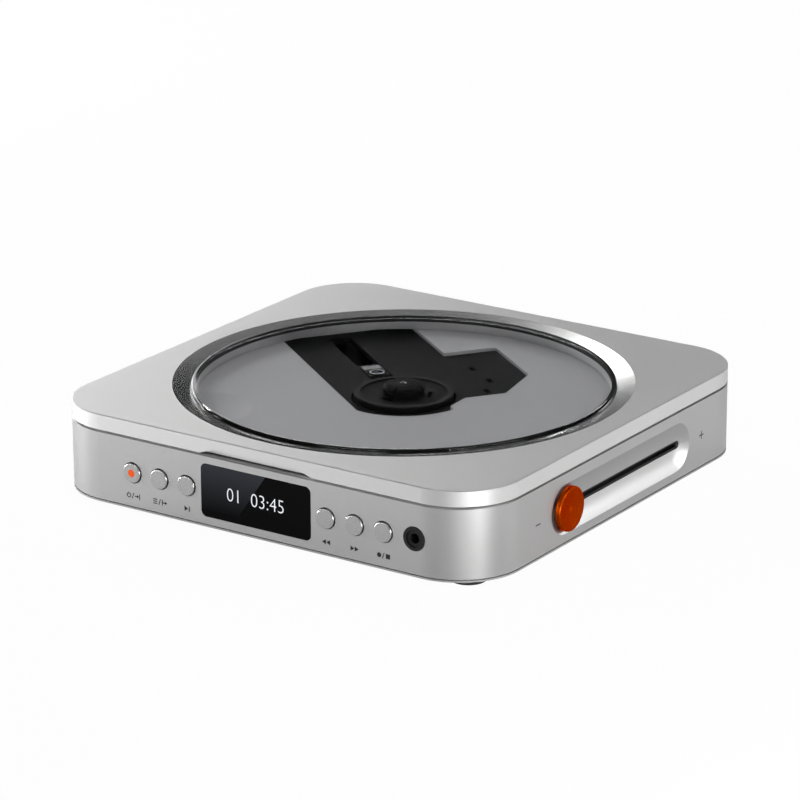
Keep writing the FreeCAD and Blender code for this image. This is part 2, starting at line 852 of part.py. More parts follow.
# Deck: the thin top plate under the disc, cut out over the drive, with a finger bowl at its edge
def drive_cutout(sketch, extra=0):
    left = -dim.cut_left - extra
    back = cut_end + extra
    front = -dim.cut_front_y - extra
    bend = extra * dim.lobe_bend
    outline(sketch, [
        (left, back),
        (left, front),
        (dim.lobe_corner_x + bend, front),
        (dim.lobe_end_x + extra, dim.lobe_corner_y - bend),
        (dim.lobe_end_x + extra, dim.lobe_back_y + extra),
        (dim.cut_right + extra, dim.lobe_back_y + extra),
        (dim.cut_right + extra, back),
    ])


def turntable_cutout(sketch):
    # The round stretch in front of the turntable, closed by the step beside it.
    radius = dim.cut_radius
    left_y = -root(radius * radius - dim.cut_left * dim.cut_left)
    step_y = -root(radius * radius - dim.cut_step_x * dim.cut_step_x)
    start = math.atan2(left_y.value, -dim.cut_left.value)
    end = math.atan2(step_y.value, dim.cut_step_x.value)
    ring = Part.Circle(FreeCAD.Vector(), FreeCAD.Vector(0, 0, 1), radius.value)
    sketch.addGeometry(Part.ArcOfCircle(ring, start, end), False)
    inside = -dim.cut_front_y + dim.chassis_overlap
    points = [
        (dim.cut_step_x, step_y),
        (dim.cut_step_x, -dim.cut_step_y),
        (dim.cut_corner_x, -dim.cut_front_y),
        (dim.cut_corner_x, inside),
        (-dim.cut_left, inside),
        (-dim.cut_left, left_y),
    ]
    spots = [FreeCAD.Vector(x.value, y.value, 0) for x, y in points]
    for start_spot, end_spot in zip(spots, spots[1:]):
        sketch.addGeometry(Part.LineSegment(start_spot, end_spot), False)
    sketch.addConstraint(Sketcher.Constraint("Coincident", 0, 3, -1, 1))
    fix(sketch, "Radius", 0, radius)
    sketch.addConstraint(Sketcher.Constraint("Coincident", 0, 2, 1, 1))
    sketch.addConstraint(Sketcher.Constraint("Coincident", 5, 2, 0, 1))
    for i in (1, 2, 3, 4):
        sketch.addConstraint(Sketcher.Constraint("Coincident", i, 2, i + 1, 1))
    pin_point(sketch, 1, 1, dim.cut_step_x, None)
    for i in (1, 2, 3, 4):
        pin_point(sketch, i, 2, *points[i])
    pin_point(sketch, 5, 2, -dim.cut_left, None)


def make_disc_deck():
    body = new_body("disc_deck")
    gap = 2 * dim.fit
    sketch = new_sketch(body, level=deck_underside)
    rounded(sketch, inner_width - gap, inner_depth - gap, inner_corner - dim.fit)
    pad(body, sketch, dim.deck_thickness)
    sketch = new_sketch(body, level=deck_underside)
    circle(sketch, dim.scallop_radius - dim.scallop_floor, *scallop_spot)
    pad(body, sketch, dim.scallop_depth + dim.scallop_floor - dim.deck_thickness, reverse=True)
    dish(body, dim.scallop_radius, dim.scallop_depth, dim.deck_height, *scallop_spot)
    sketch = new_sketch(body, level=dim.deck_height, turn=dim.drive_angle)
    drive_cutout(sketch)
    pocket(body, sketch, dim.deck_thickness)
    sketch = new_sketch(body, level=dim.deck_height, turn=dim.drive_angle)
    turntable_cutout(sketch)
    pocket(body, sketch, dim.deck_thickness)
    hole = dim.shank_radius + dim.hole_play
    holes(body, hole, dim.deck_height, dim.deck_thickness, pillar_spots)
    head = dim.head_radius + dim.hole_play
    holes(body, head, dim.deck_height, dim.head_height, pillar_spots)
    hole = dim.small_shank_radius + dim.hole_play
    holes(body, hole, dim.deck_height, dim.deck_thickness, leaf_screw_spots)


# Lid: a flat aluminium cover with a conical bezel round the window
def make_lid_frame():
    body = new_body("lid_frame")
    sketch = new_sketch(body, level=lid_bottom)
    rounded(sketch, dim.body_width, dim.body_depth, dim.corner_radius)
    pad(body, sketch, dim.case_height - lid_bottom)
    soften(body, "Chamfer", dim.lid_edge_chamfer, flat_at(dim.case_height.value))
    sketch = new_sketch(body, level=lid_underside)
    rounded(sketch, inner_width, inner_depth, inner_corner)
    circle(sketch, ring_outer)
    pocket(body, sketch, lid_underside - lid_bottom)
    sketch = new_sketch(body, level=ring_bottom)
    circle(sketch, ring_outer)
    pad(body, sketch, lid_bottom - ring_bottom)
    studs(body, dim.lid_boss_radius, liner_top, lid_underside, lid_boss_spots)
    studs(body, dim.lid_boss_radius, liner_top, lid_underside, leaf_screw_spots)
    sketch = new_sketch(body, "XZ_Plane")
    seat = window_radius + dim.window_fit
    above = dim.case_height + dim.lid_plate
    outline(sketch, [
        (0, ring_bottom - dim.wall),
        (ring_inner, ring_bottom - dim.wall),
        (ring_inner, gasket_floor),
        (seat, gasket_floor),
        (seat, bezel_floor),
        (window_radius + dim.bezel_width, dim.case_height),
        (window_radius + dim.bezel_width, above),
        (0, above),
    ])
    spin(body, sketch, "PartDesign::Groove")
    hole = dim.small_shank_radius + dim.hole_play
    sketch = new_sketch(body, level=liner_top)
    for x, y in lid_boss_spots + leaf_screw_spots:
        circle(sketch, hole, x, y)
    pocket(body, sketch, lid_underside - liner_top, reverse=True)
    cut_finger_notch(body)
    cut_lid_hinge_notches(body)


def cut_finger_notch(body):
    # The notch is widest at the seam and runs out towards its closed top.
    sketch = new_sketch(body, "XZ_Plane", level=dim.body_depth / 2)
    low = dim.notch_low_width / 2
    high = dim.notch_high_width / 2
    top = dim.seam_height + dim.notch_height
    outline(sketch, [(-low, lid_bottom), (low, lid_bottom), (high, top), (-high, top)])
    pocket(body, sketch, dim.notch_depth)


def cut_lid_hinge_notches(body):
    face = dim.body_depth / 2
    half = dim.hinge_width / 2 + dim.fit * 2
    top = dim.seam_height + dim.knuckle_radius + dim.knuckle_gap + dim.fit
    for sign in (1, -1):
        low, high = sign * hinge_x - half, sign * hinge_x + half
        carve(body, low, high, face - dim.wall, face, lid_bottom, top)


liner_top = dim.liner_height + dim.liner_thickness


def make_lid_liner():
    body = new_body("lid_liner")
    gap = 2 * dim.fit
    sketch = new_sketch(body, level=dim.liner_height)
    rounded(sketch, inner_width - gap, inner_depth - gap, inner_corner - dim.fit)
    circle(sketch, ring_outer + dim.fit)
    pad(body, sketch, dim.liner_thickness)
    hole = dim.small_shank_radius + dim.hole_play
    spots = lid_boss_spots + leaf_screw_spots
    holes(body, hole, liner_top, dim.liner_thickness, spots)
    sketch = new_sketch(body, level=dim.liner_height)
    for x, y in lid_boss_spots:
        circle(sketch, dim.small_head_radius + dim.hole_play, x, y)
    pocket(body, sketch, dim.small_head, reverse=True)


def make_window():
    low = bezel_floor - dim.window_step
    turned("lid_window", [
        (0, low),
        ((window_radius - dim.window_rim), low),
        ((window_radius - dim.window_rim), bezel_floor),
        (window_radius, bezel_floor),
        (window_radius, dim.case_height),
        (0, dim.case_height),
    ])
    step = (window_radius - dim.window_rim) + dim.hole_play
    outer = window_radius
    turned("window_gasket", [
        (ring_inner, gasket_floor),
        (outer, gasket_floor),
        (outer, bezel_floor),
        (step, bezel_floor),
        (step, low),
        (ring_inner, low),
    ])


def make_magnets_and_bumpers():
    body = new_body("base_magnets")
    low = deck_underside - dim.magnet_thickness
    studs(body, dim.magnet_radius, low, deck_underside, magnet_spots)
    body = new_body("lid_magnets")
    high = liner_top + dim.lid_magnet_thickness
    studs(body, dim.magnet_radius, liner_top, high, magnet_spots)
    body = new_body("lid_bumpers")
    spots = corners(side_x - dim.bumper_inset, dim.bumper_y)
    high = dim.liner_height - dim.hole_play
    studs(body, dim.bumper_radius, dim.deck_height, high, spots)


# Hinges: two butt hinges whose pins lie on the rear face at the height of the seam
def hinge_leaf(label, knuckles, low, high):
    body = new_body(label, y=hinge_y)
    inner = dim.knuckle_radius + dim.knuckle_gap
    half = dim.hinge_width / 2
    features = [block(body, hinge_x - half, hinge_x + half, -dim.leaf_reach, -inner,
                      low, high)]
    axis = dim.seam_height
    for start, width in knuckles:
        arm = block(body, start, start + width, -inner, 0, low, high)
        sketch = new_sketch(body, "YZ_Plane", level=start)
        circle(sketch, dim.knuckle_radius, 0, axis)
        features += [arm, pad(body, sketch, width)]
    start = hinge_x - half
    sketch = new_sketch(body, "YZ_Plane", level=start)
    circle(sketch, dim.pin_radius + dim.pin_play, 0, axis)
    features.append(pocket(body, sketch, dim.hinge_width, reverse=True))
    spots = [(hinge_x + side * dim.leaf_screw_x, -dim.leaf_screw_reach) for side in (1, -1)]
    hole = dim.small_shank_radius + dim.hole_play
    features.append(holes(body, hole, high, high - low, spots))
    return body, features, spots


def make_hinges():
    side = (dim.hinge_width - dim.lid_knuckle) / 2 - dim.knuckle_gap
    left = hinge_x - dim.hinge_width / 2
    right = hinge_x + dim.hinge_width / 2 - side
    top = dim.deck_height + dim.leaf_thickness
    base, features, spots = hinge_leaf(
        "base_hinge_leaves", [(left, side), (right, side)], dim.deck_height, top
    )
    head = dim.small_head_radius + dim.hole_play
    features.append(holes(base, head, top, dim.small_head, spots))
    mirrored(base, features)
    low = lid_leaf_bottom
    middle = hinge_x - dim.lid_knuckle / 2
    lid, features, spots = hinge_leaf(
        "lid_hinge_leaves", [(middle, dim.lid_knuckle)], low, dim.liner_height
    )
    sketch = new_sketch(lid, level=low)
    for x, y in spots:
        circle(sketch, head, x, y)
    features.append(pocket(lid, sketch, dim.small_head, reverse=True))
    mirrored(lid, features)
    pins = new_body("hinge_pins", y=hinge_y)
    sketch = new_sketch(pins, "YZ_Plane", level=left)
    circle(sketch, dim.pin_radius, 0, dim.seam_height)
    mirrored(pins, [pad(pins, sketch, dim.hinge_width)])


# Front controls: the caps, their tact switches and the board behind them
def make_buttons():
    names = ["power", "source", "play", "previous", "next", "stop"]
    wall_back = dim.wall
    flange_front = wall_back + dim.fit
    stem_end = dim.wall + dim.switch_offset + dim.switch_reach
    for name, x in zip(names, button_spots):
        face = dim.button_proud
        body = turned(
            f"button_{name}",
            [
                (0, face),
                (0, -stem_end),
                (dim.button_stem_radius, -stem_end),
                (dim.button_stem_radius, -flange_front - dim.button_flange),
                (dim.button_flange_radius, -flange_front - dim.button_flange),
                (dim.button_flange_radius, -flange_front),
                (dim.button_radius, -flange_front),
                (dim.button_radius, face),
            ],
            x=x, y=front_y, z=dim.control_height, axis=(1, 0, 0), turn=90,
        )
        soften(body, "Fillet", dim.button_edge, flat_at(face.value))
        if name == "power":
            dot = new_sketch(body, level=face)
            circle(dot, dim.dot_radius)
            pocket(body, dot, dim.dot_depth)
    turned(
        "power_dot",
        [
            (0, dim.button_proud - dim.dot_depth),
            (dim.dot_radius, dim.button_proud - dim.dot_depth),
            (dim.dot_radius, dim.button_proud),
            (0, dim.button_proud),
        ],
        x=button_spots[0], y=front_y, z=dim.control_height, axis=(1, 0, 0), turn=90,
    )


def make_key_switches():
    body = new_body("key_switches")
    face = dim.body_depth / 2 - dim.wall - dim.switch_offset
    sketch = new_sketch(body, "XZ_Plane", level=face)
    half = dim.switch_size / 2
    for x in button_spots:
        high = dim.control_height
        rectangle(sketch, x - half, x + half, high - half, high + half)
    pad(body, sketch, dim.switch_depth, reverse=True)
    sketch = new_sketch(body, "XZ_Plane", level=face)
    for x in button_spots:
        circle(sketch, dim.button_stem_radius + dim.button_play, x, dim.control_height)
    room = dim.switch_reach + dim.button_travel + dim.button_play
    pocket(body, sketch, room)


def make_front_board():
    body = new_body("front_board")
    face = dim.body_depth / 2 - dim.wall - dim.switch_offset - dim.switch_depth
    sketch = new_sketch(body, "XZ_Plane", level=face)
    low, high = plate_top + dim.fit, web_underside - dim.fit
    left = dim.body_width * dim.front_board_left_share
    right = dim.body_width * dim.front_board_right_share
    rectangle(sketch, -left, right, low, high)
    pad(body, sketch, dim.board_thickness, reverse=True)


def make_display():
    face = dim.body_depth / 2
    body = new_body("display_window")
    sketch = new_sketch(body, "XZ_Plane", level=face)
    gap = dim.hole_play
    width, height = display_width - gap, dim.display_height - gap
    rounded(sketch, width, height, dim.display_corner, 0, dim.control_height)
    pad(body, sketch, dim.display_thickness, reverse=True)
    body = new_body("display_module")
    ledge = 2 * dim.display_ledge + dim.fit
    sketch = new_sketch(body, "XZ_Plane", level=face - dim.display_thickness)
    width, height = display_width - ledge, dim.display_height - ledge
    rounded(sketch, width, height, dim.display_corner / 2, 0, dim.control_height)
    pad(body, sketch, dim.display_module_thickness, reverse=True)


def make_headphone_jack():
    face = dim.body_depth / 2
    body = new_body("headphone_jack")
    gap = dim.wall + dim.fit * 3
    sketch = new_sketch(body, "XZ_Plane", level=face - gap)
    x, z = jack_x, dim.jack_height
    half, tall = dim.jack_body_width / 2, dim.jack_body_height / 2
    rectangle(sketch, x - half, x + half, z - tall, z + tall)
    pad(body, sketch, dim.jack_length - gap + dim.jack_nose_recess + dim.jack_back, reverse=True)
    sketch = new_sketch(body, "XZ_Plane", level=face - gap)
    circle(sketch, dim.jack_nose_radius, x, z)
    pad(body, sketch, gap - dim.jack_nose_recess)
    sketch = new_sketch(body, "XZ_Plane", level=face - dim.jack_nose_recess)
    circle(sketch, dim.jack_bore, x, z)
    pocket(body, sketch, dim.jack_length)
    collar = new_body("jack_collar")
    sketch = new_sketch(collar, "XZ_Plane", level=face + dim.jack_collar_proud)
    circle(sketch, dim.jack_radius, x, z)
    circle(sketch, dim.jack_nose_radius, x, z)
    pad(collar, sketch, dim.jack_collar_proud + gap, reverse=True)


# Fader: the knob, its lever, the slot's liner and the slide pot
def make_fader():
    start = -dim.fader_travel / 2
    back = dim.knob_proud - dim.knob_edge
    knob = turned(
        "volume_knob",
        [
            (0, back - dim.knob_boss_depth),
            (dim.knob_boss_radius, back - dim.knob_boss_depth),
            (dim.knob_radius, back),
            (dim.knob_radius, dim.knob_proud),
            (0, dim.knob_proud),
        ],
        x=side_x, y=start, z=dim.dish_height, axis=(0, 1, 0), turn=90,
    )
    rim = dim.knob_dish_radius.value
    soften(knob, "Fillet", dim.knob_round, flat_at(dim.knob_proud.value, rim))
    soften(knob, "Fillet", dim.knob_round, flat_at(back.value, rim))
    dish(knob, dim.knob_dish_radius, dim.knob_dish, dim.knob_proud)
    lever = new_body("fader_lever", x=side_x, y=start, z=dim.dish_height)
    near = back - dim.knob_boss_depth
    half = dim.lever_length / 2
    thick = dim.lever_thickness / 2
    block(lever, near - dim.lever_reach, near, -half, half, -thick, thick)
    inner_face = side_x - dim.wall - dim.dish_backing
    liner = new_body("slot_liner", z=dim.dish_height)
    sketch = new_sketch(liner, "YZ_Plane", level=inner_face)
    width = dim.slot_width - 2 * dim.fit
    round_end = width / 2 - dim.hole_play / 2
    rounded(sketch, dim.slot_length - 2 * dim.fit, width, round_end)
    pad(liner, sketch, dim.wall + dim.dish_backing - dim.dish_depth - dim.fit)
    sketch = new_sketch(liner, "YZ_Plane", level=inner_face)
    wide = dim.slot_width + 2 * dim.liner_flange
    rounded(sketch, dim.slot_length + 2 * dim.liner_flange, wide, dim.liner_flange)
    pad(liner, sketch, dim.liner_flange_thickness, reverse=True)
    sketch = new_sketch(liner, "YZ_Plane", level=side_x)
    round_end = dim.liner_slot_width / 2 - dim.hole_play / 2
    rounded(sketch, dim.liner_slot_length, dim.liner_slot_width, round_end)
    pocket(liner, sketch, dim.wall + dim.dish_backing + dim.liner_flange_thickness)
    pot = new_body("slide_pot", z=dim.dish_height)
    pot_face = inner_face - dim.liner_flange_thickness
    half, tall = dim.pot_length / 2, dim.pot_height / 2
    block(pot, pot_face - dim.pot_depth, pot_face, -half, half, -tall, tall)
    sketch = new_sketch(pot, "YZ_Plane", level=pot_face)
    rounded(sketch, dim.liner_slot_length, dim.liner_slot_width, round_end)
    pocket(pot, sketch, near_reach(pot_face))


def near_reach(pot_face):
    back = dim.knob_proud - dim.knob_edge - dim.knob_boss_depth
    lever_end = side_x + back - dim.lever_reach
    return pot_face - lever_end + dim.button_play


# Rear sockets on a recessed panel
def make_rear_sockets():
    face = dim.body_depth / 2
    z = dim.rear_height
    panel = new_body("rear_panel")
    wide = dim.rear_opening_width + 2 * dim.rear_panel_flange
    tall = dim.rear_opening_height + 2 * dim.rear_panel_flange
    inner = face - dim.wall
    sketch = new_sketch(panel, "XZ_Plane", level=-inner)
    rounded(sketch, wide, tall, dim.rear_opening_corner, 0, z)
    pad(panel, sketch, dim.rear_panel_thickness)
    sketch = new_sketch(panel, "XZ_Plane", level=-inner)
    gap = 2 * dim.fit
    width, height = dim.rear_opening_width - gap, dim.rear_opening_height - gap
    rounded(sketch, width, height, dim.rear_opening_corner, 0, z)
    pad(panel, sketch, dim.wall - dim.rear_panel_recess, reverse=True)
    outer = face - dim.rear_panel_recess
    through = outer - inner + dim.rear_panel_thickness
    spots = [-dim.phono_first_x + step * dim.phono_pitch for step in (0, 1, 2)]
    sketch = new_sketch(panel, "XZ_Plane", level=-outer)
    for x in spots:
        circle(sketch, dim.phono_radius + dim.hole_play, x, z)
    usb_wide = dim.usb_width + 2 * dim.usb_shell
    usb_tall = dim.usb_opening + 2 * dim.usb_shell
    wide, tall = usb_wide + dim.hole_play, usb_tall + dim.hole_play
    rounded(sketch, wide, tall, tall / 2 - dim.hole_play, dim.usb_x, z)
    pocket(panel, sketch, through, reverse=True)
    behind = inner - dim.rear_panel_thickness
    shells = new_body("phono_shells")
    sketch = new_sketch(shells, "XZ_Plane", level=-behind)
    for x in spots:
        circle(sketch, dim.phono_radius, x, z)
    pad(shells, sketch, outer + dim.phono_length - behind, reverse=True)
    sketch = new_sketch(shells, "XZ_Plane", level=-outer)
    for x in spots:
        circle(sketch, dim.phono_nut_radius, x, z)
    pad(shells, sketch, dim.phono_nut, reverse=True)
    sketch = new_sketch(shells, "XZ_Plane", level=-behind)
    for x in spots:
        circle(sketch, dim.phono_radius - dim.phono_wall, x, z)
    pocket(shells, sketch, outer + dim.phono_length - behind)
    cores = new_body("phono_cores")
    sketch = new_sketch(cores, "XZ_Plane", level=-behind)
    half = dim.phono_body / 2
    board_top = dim.main_board_height + dim.board_thickness
    for x in spots:
        rectangle(sketch, x - half, x + half, board_top, z + half)
    pad(cores, sketch, dim.phono_body)
    sketch = new_sketch(cores, "XZ_Plane", level=-behind)
    for x in spots:
        circle(sketch, dim.phono_radius - dim.phono_wall - dim.pin_play, x, z)
    pad(cores, sketch, outer + dim.phono_length - dim.phono_nut - behind, reverse=True)
    sketch = new_sketch(cores, "XZ_Plane", level=-outer - dim.phono_length + dim.phono_nut)
    for x in spots:
        circle(sketch, dim.phono_bore, x, z)
    pocket(cores, sketch, dim.phono_length, reverse=True)
    usb = new_body("usb_socket")
    sketch = new_sketch(usb, "XZ_Plane", level=-outer)
    rounded(sketch, usb_wide, usb_tall, usb_tall / 2 - dim.hole_play, dim.usb_x, z)
    pad(usb, sketch, dim.usb_depth)
    sketch = new_sketch(usb, "XZ_Plane", level=-outer)
    ends = dim.usb_opening / 2 - dim.hole_play
    rounded(sketch, dim.usb_width, dim.usb_opening, ends, dim.usb_x, z)
    pocket(usb, sketch, dim.usb_depth - dim.usb_shell, reverse=True)


# Main board on its standoffs
def board_corner_spots():
    half_x = board_width / 2 - dim.standoff_inset
    half_y = board_depth / 2 - dim.standoff_inset
    return [
        (dim.main_board_x + x, dim.main_board_y + y)
        for x, y in ((half_x, half_y), (-half_x, half_y), (-half_x, -half_y), (half_x, -half_y))
    ]


def make_main_board():
    spots = board_corner_spots()
    standoffs = new_body("board_standoffs")
    studs(standoffs, dim.standoff_radius, plate_top, dim.main_board_height, spots)
    board = new_body("main_board")
    sketch = new_sketch(board, level=dim.main_board_height)
    rounded(sketch, board_width, board_depth, dim.standoff_inset,
            dim.main_board_x, dim.main_board_y)
    pad(board, sketch, dim.board_thickness)
    top = dim.main_board_height + dim.board_thickness
    sketch = new_sketch(board, level=top, turn=dim.drive_angle)
    for x, y in damper_spots():
        circle(sketch, dim.post_radius + dim.chassis_overlap / 2, x, y)
    pocket(board, sketch, dim.board_thickness)
    make_board_parts(top)


def make_board_parts(top):
    # Two chips near the front and a row of capacitors towards the rear sockets.
    body = new_body("board_parts")
    across, along = board_width, board_depth
    front = dim.main_board_y - along / 2 + dim.chip_size
    for x, size in ((dim.main_board_x - across / 4, dim.chip_size),
                    (dim.main_board_x + across / 4, dim.small_chip_size)):
        half = size / 2
        block(body, x - half, x + half, front - half, front + half, top, top + dim.chip_height)
    rear = dim.main_board_y + along / 2 - dim.chip_size
    first = dim.main_board_x + dim.chip_size / 2
    step = dim.capacitor_radius * 3
    spots = [(first + step * count, rear) for count in (0, 1, 2, 3)]
    studs(body, dim.capacitor_radius, top, top + dim.capacitor_height, spots)


# Drive chassis with the turntable's well, the pickup slot and the rod tabs
def damper_spots():
    edge = dim.damper_radius
    back = cut_end - edge
    return [
        (-dim.cut_left + edge / 2, back),
        (dim.cut_right - edge / 2, back),
        (dim.lobe_end_x - edge, dim.lobe_corner_y + edge * 2),
        (-dim.cut_left + edge, -dim.cut_front_y - edge),
    ]


def make_chassis():
    body = new_body("drive_chassis", turn=dim.drive_angle)
    sketch = new_sketch(body, level=chassis_bottom)
    drive_cutout(sketch, dim.chassis_overlap)
    pad(body, sketch, dim.chassis_thickness)
    sketch = new_sketch(body, level=chassis_bottom)
    circle(sketch, dim.cut_radius + dim.chassis_overlap)
    pad(body, sketch, dim.chassis_thickness)
    well_top = chassis_top - dim.well_drop
    well_bottom = well_top - dim.well_floor
    sketch = new_sketch(body, level=well_bottom)
    circle(sketch, dim.well_radius + dim.well_wall)
    pad(body, sketch, chassis_bottom - well_bottom)
    holes(body, dim.well_radius, chassis_top, dim.well_drop, [(0, 0)])
    holes(body, dim.motor_neck_radius + dim.hole_play, well_top, dim.well_floor, [(0, 0)])
    for side in (1, -1):
        for near in (dim.rod_start, rod_finish - dim.tab_thickness):
            x_low = side * dim.rod_x - dim.tab_width / 2
            x_high = side * dim.rod_x + dim.tab_width / 2
            low = dim.rod_height - dim.tab_width / 2
            block(body, x_low, x_high, near, near + dim.tab_thickness, low, chassis_bottom)
    carve(body, -dim.slot_half, dim.slot_half, dim.slot_start, cut_end - dim.slot_end_inset,
          well_bottom, chassis_top)
    sketch = new_sketch(body, "XZ_Plane", level=-rod_finish)
    for side in (1, -1):
        circle(sketch, dim.rod_radius + dim.rod_play, side * dim.rod_x, dim.rod_height)
    pocket(body, sketch, rod_finish - dim.rod_start, reverse=True)
    mark = dim.chassis_thickness
    for x, y in ((dim.lobe_corner_x, dim.lobe_corner_y), (dim.cut_right, -dim.cut_step_y / 3),
                 (dim.lobe_corner_x - dim.well_wall, dim.lobe_back_y / 2)):
        carve(body, x, x + mark, y, y + mark * 2, chassis_bottom, chassis_top)
    posts = new_body("drive_posts", turn=dim.drive_angle)
    spots = damper_spots()
    high = chassis_bottom - dim.damper_height
    studs(posts, dim.post_radius, plate_top, high, spots)
    dampers = new_body("drive_dampers", turn=dim.drive_angle)
    studs(dampers, dim.damper_radius, high, chassis_bottom, spots)
    rods = new_body("guide_rods", turn=dim.drive_angle)
    sketch = new_sketch(rods, "XZ_Plane", level=-dim.rod_start)
    for side in (1, -1):
        circle(sketch, dim.rod_radius, side * dim.rod_x, dim.rod_height)
    pad(rods, sketch, rod_finish - dim.rod_start, reverse=True)


# Turntable: platform, hub with spring claws, rubber pad and shaft
def make_turntable():
    high, low = dim.platform_top, dim.platform_bottom
    rim = dim.platform_radius
    pad_seat = dim.pad_top - dim.pad_rebate - dim.platform_edge
    body = turned("turntable", [
        (dim.shaft_radius, low),
        (rim - dim.platform_edge, low),
        (rim, low + dim.platform_edge),
        (rim, high),
        (rim, pad_seat + dim.pad_rebate),
        (dim.pad_outer, pad_seat + dim.pad_rebate),
        (dim.pad_outer, pad_seat),
        (dim.pad_inner, pad_seat),
        (dim.pad_inner, high),
        (dim.shaft_radius, high),
    ], turn=dim.drive_angle)
    window = new_sketch(body, level=high)
    rectangle(window, -dim.claw_width, dim.claw_width, dim.hub_radius + dim.claw_slit,
              dim.hub_radius + dim.claw_width)
    slot = pocket(body, window, high - low)
    around(body, [slot], dim.claw_count)
    turned("disc_pad", [
        (dim.pad_inner, pad_seat),
        (dim.pad_outer, pad_seat),
        (dim.pad_outer, dim.pad_top),
        (dim.pad_inner, dim.pad_top),
    ], turn=dim.drive_angle)
    hub = turned("turntable_hub", [
        (dim.shaft_radius, high),
        (dim.hub_radius, high),
        (dim.hub_radius, dim.hub_shoulder),
        (dim.hub_crown_radius, dim.hub_top - dim.platform_edge),
        (dim.hub_tip_radius, dim.hub_top),
        (dim.shaft_radius, dim.hub_top),
    ], turn=dim.drive_angle)
    half = dim.claw_width / 2
    sketch = new_sketch(hub, level=dim.hub_top)
    inner = dim.hub_radius - dim.claw_width
    for side in (1, -1):
        near = side * (half + dim.claw_slit / 2)
        rectangle(sketch, near - dim.claw_slit / 2, near + dim.claw_slit / 2, inner,
                  dim.claw_radius)
    slits = pocket(hub, sketch, dim.hub_top - high - dim.platform_edge)
    sketch = new_sketch(hub, "YZ_Plane", level=-half)
    outline(sketch, [
        (dim.hub_radius - dim.claw_slit, dim.hub_shoulder - dim.claw_slit),
        (dim.hub_radius - dim.claw_slit, dim.pad_top + dim.claw_slit),
        (dim.hub_radius, dim.pad_top + dim.claw_slit),
        (dim.claw_radius, dim.hub_shoulder - dim.claw_slit),
    ])
    nib = pad(hub, sketch, dim.claw_width)
    around(hub, [slits, nib], dim.claw_count)
    turned("spindle_shaft", [
        (0, dim.shaft_bottom),
        (dim.shaft_radius, dim.shaft_bottom),
        (dim.shaft_radius, dim.hub_top),
        (dim.shaft_tip_radius, dim.shaft_top),
        (0, dim.shaft_top),
    ], turn=dim.drive_angle)


def make_spindle_motor():
    top = chassis_top - dim.well_drop - dim.well_floor
    low = top - dim.motor_height
    bore = dim.shaft_radius + dim.pin_play
    turned("spindle_motor", [
        (bore, low),
        (dim.motor_radius, low),
        (dim.motor_radius, top),
        (dim.motor_neck_radius, top),
        (dim.motor_neck_radius, top + dim.well_floor),
        (bore, top + dim.well_floor),
    ], turn=dim.drive_angle)


# Pickup: the sled on its rods, the rack and the floating lens
def make_pickup():
    top = chassis_bottom - dim.sled_clearance
    front = dim.lens_y - dim.sled_front
    back = dim.lens_y + dim.sled_back
    body = new_body("pickup_sled", turn=dim.drive_angle)
    half = dim.sled_half
    block(body, -half, half, front, back, dim.sled_bottom, top)
    turret = dim.turret_half
    block(body, -turret, turret, front + dim.sled_clearance, dim.lens_y + dim.turret_back, top,
          dim.turret_top)
    sketch = new_sketch(body, "XZ_Plane", level=-back)
    for side in (1, -1):
        circle(sketch, dim.rod_radius + dim.rod_play, side * dim.rod_x, dim.rod_height)
    pocket(body, sketch, back - front, reverse=True)
    # The far rod runs in an open fork
    carve(body, -half, -dim.rod_x, front, back, dim.rod_height - dim.rod_radius - dim.rod_play,
          dim.rod_height + dim.rod_radius + dim.rod_play)
    # The laser and its prism sit in the middle, so the corners over them are cut away
    step = dim.tab_width
    carve(body, -half, -turret - step, back - 2 * step, back, dim.rod_height + step / 2, top)
    holes(body, dim.lens_well, dim.turret_top, dim.turret_top - dim.lens_well_floor,
          [(0, dim.lens_y)])
    carrier = turned("lens_carrier", [
        (dim.lens_radius - dim.platform_edge, dim.carrier_bottom),
        (dim.carrier_radius, dim.carrier_bottom),
        (dim.carrier_radius, dim.carrier_top),
        (dim.lens_radius, dim.carrier_top),
        (dim.lens_radius, dim.carrier_top - dim.lens_thickness),
        (dim.lens_radius - dim.platform_edge, dim.carrier_top - dim.lens_thickness),
    ])
    lens = turned("objective_lens", [
        (0, dim.carrier_top - dim.lens_thickness),
        (dim.lens_radius, dim.carrier_top - dim.lens_thickness),
        (dim.lens_radius, dim.carrier_top - dim.platform_edge),
        (dim.lens_crown_radius, dim.carrier_top),
        (0, dim.carrier_top + dim.platform_edge / 2),
    ])
    for piece in (carrier, lens):
        swing(piece, 0 * dim.lens_y, dim.lens_y)


def swing(piece, x, y):
    # Moves a piece that is drawn about its own axis to a spot in the drive's turned frame.
    angle = f"({dim.drive_angle.text} * 1 deg)"
    turn = math.radians(dim.drive_angle.value)
    place_x = x.value * math.cos(turn) - y.value * math.sin(turn)
    place_y = x.value * math.sin(turn) + y.value * math.cos(turn)
    across = f"{x.text} * cos({angle}) - {y.text} * sin({angle})"
    along = f"{x.text} * sin({angle}) + {y.text} * cos({angle})"
    place(piece, Length(place_x, across), Length(place_y, along), turn=dim.drive_angle)


# Gear train: motor pinion, two-step gear and the sled's rack
def tooth(sketch, pitch_radius, inner):
    # One straight-sided tooth that points along the sketch's X axis.
    half = tooth_half()
    lean = dim.gear_module * dim.tooth_lean
    outline(sketch, [
        (inner, -half - lean),
        (pitch_radius - dim.gear_module, -half - lean),
        (pitch_radius + dim.gear_module * dim.tooth_tip, -half + lean),
        (pitch_radius + dim.gear_module * dim.tooth_tip, half - lean),
        (pitch_radius - dim.gear_module, half + lean),
        (inner, half + lean),
    ])


def tooth_half():
    return dim.gear_module * (math.pi / 4) - dim.backlash / 2


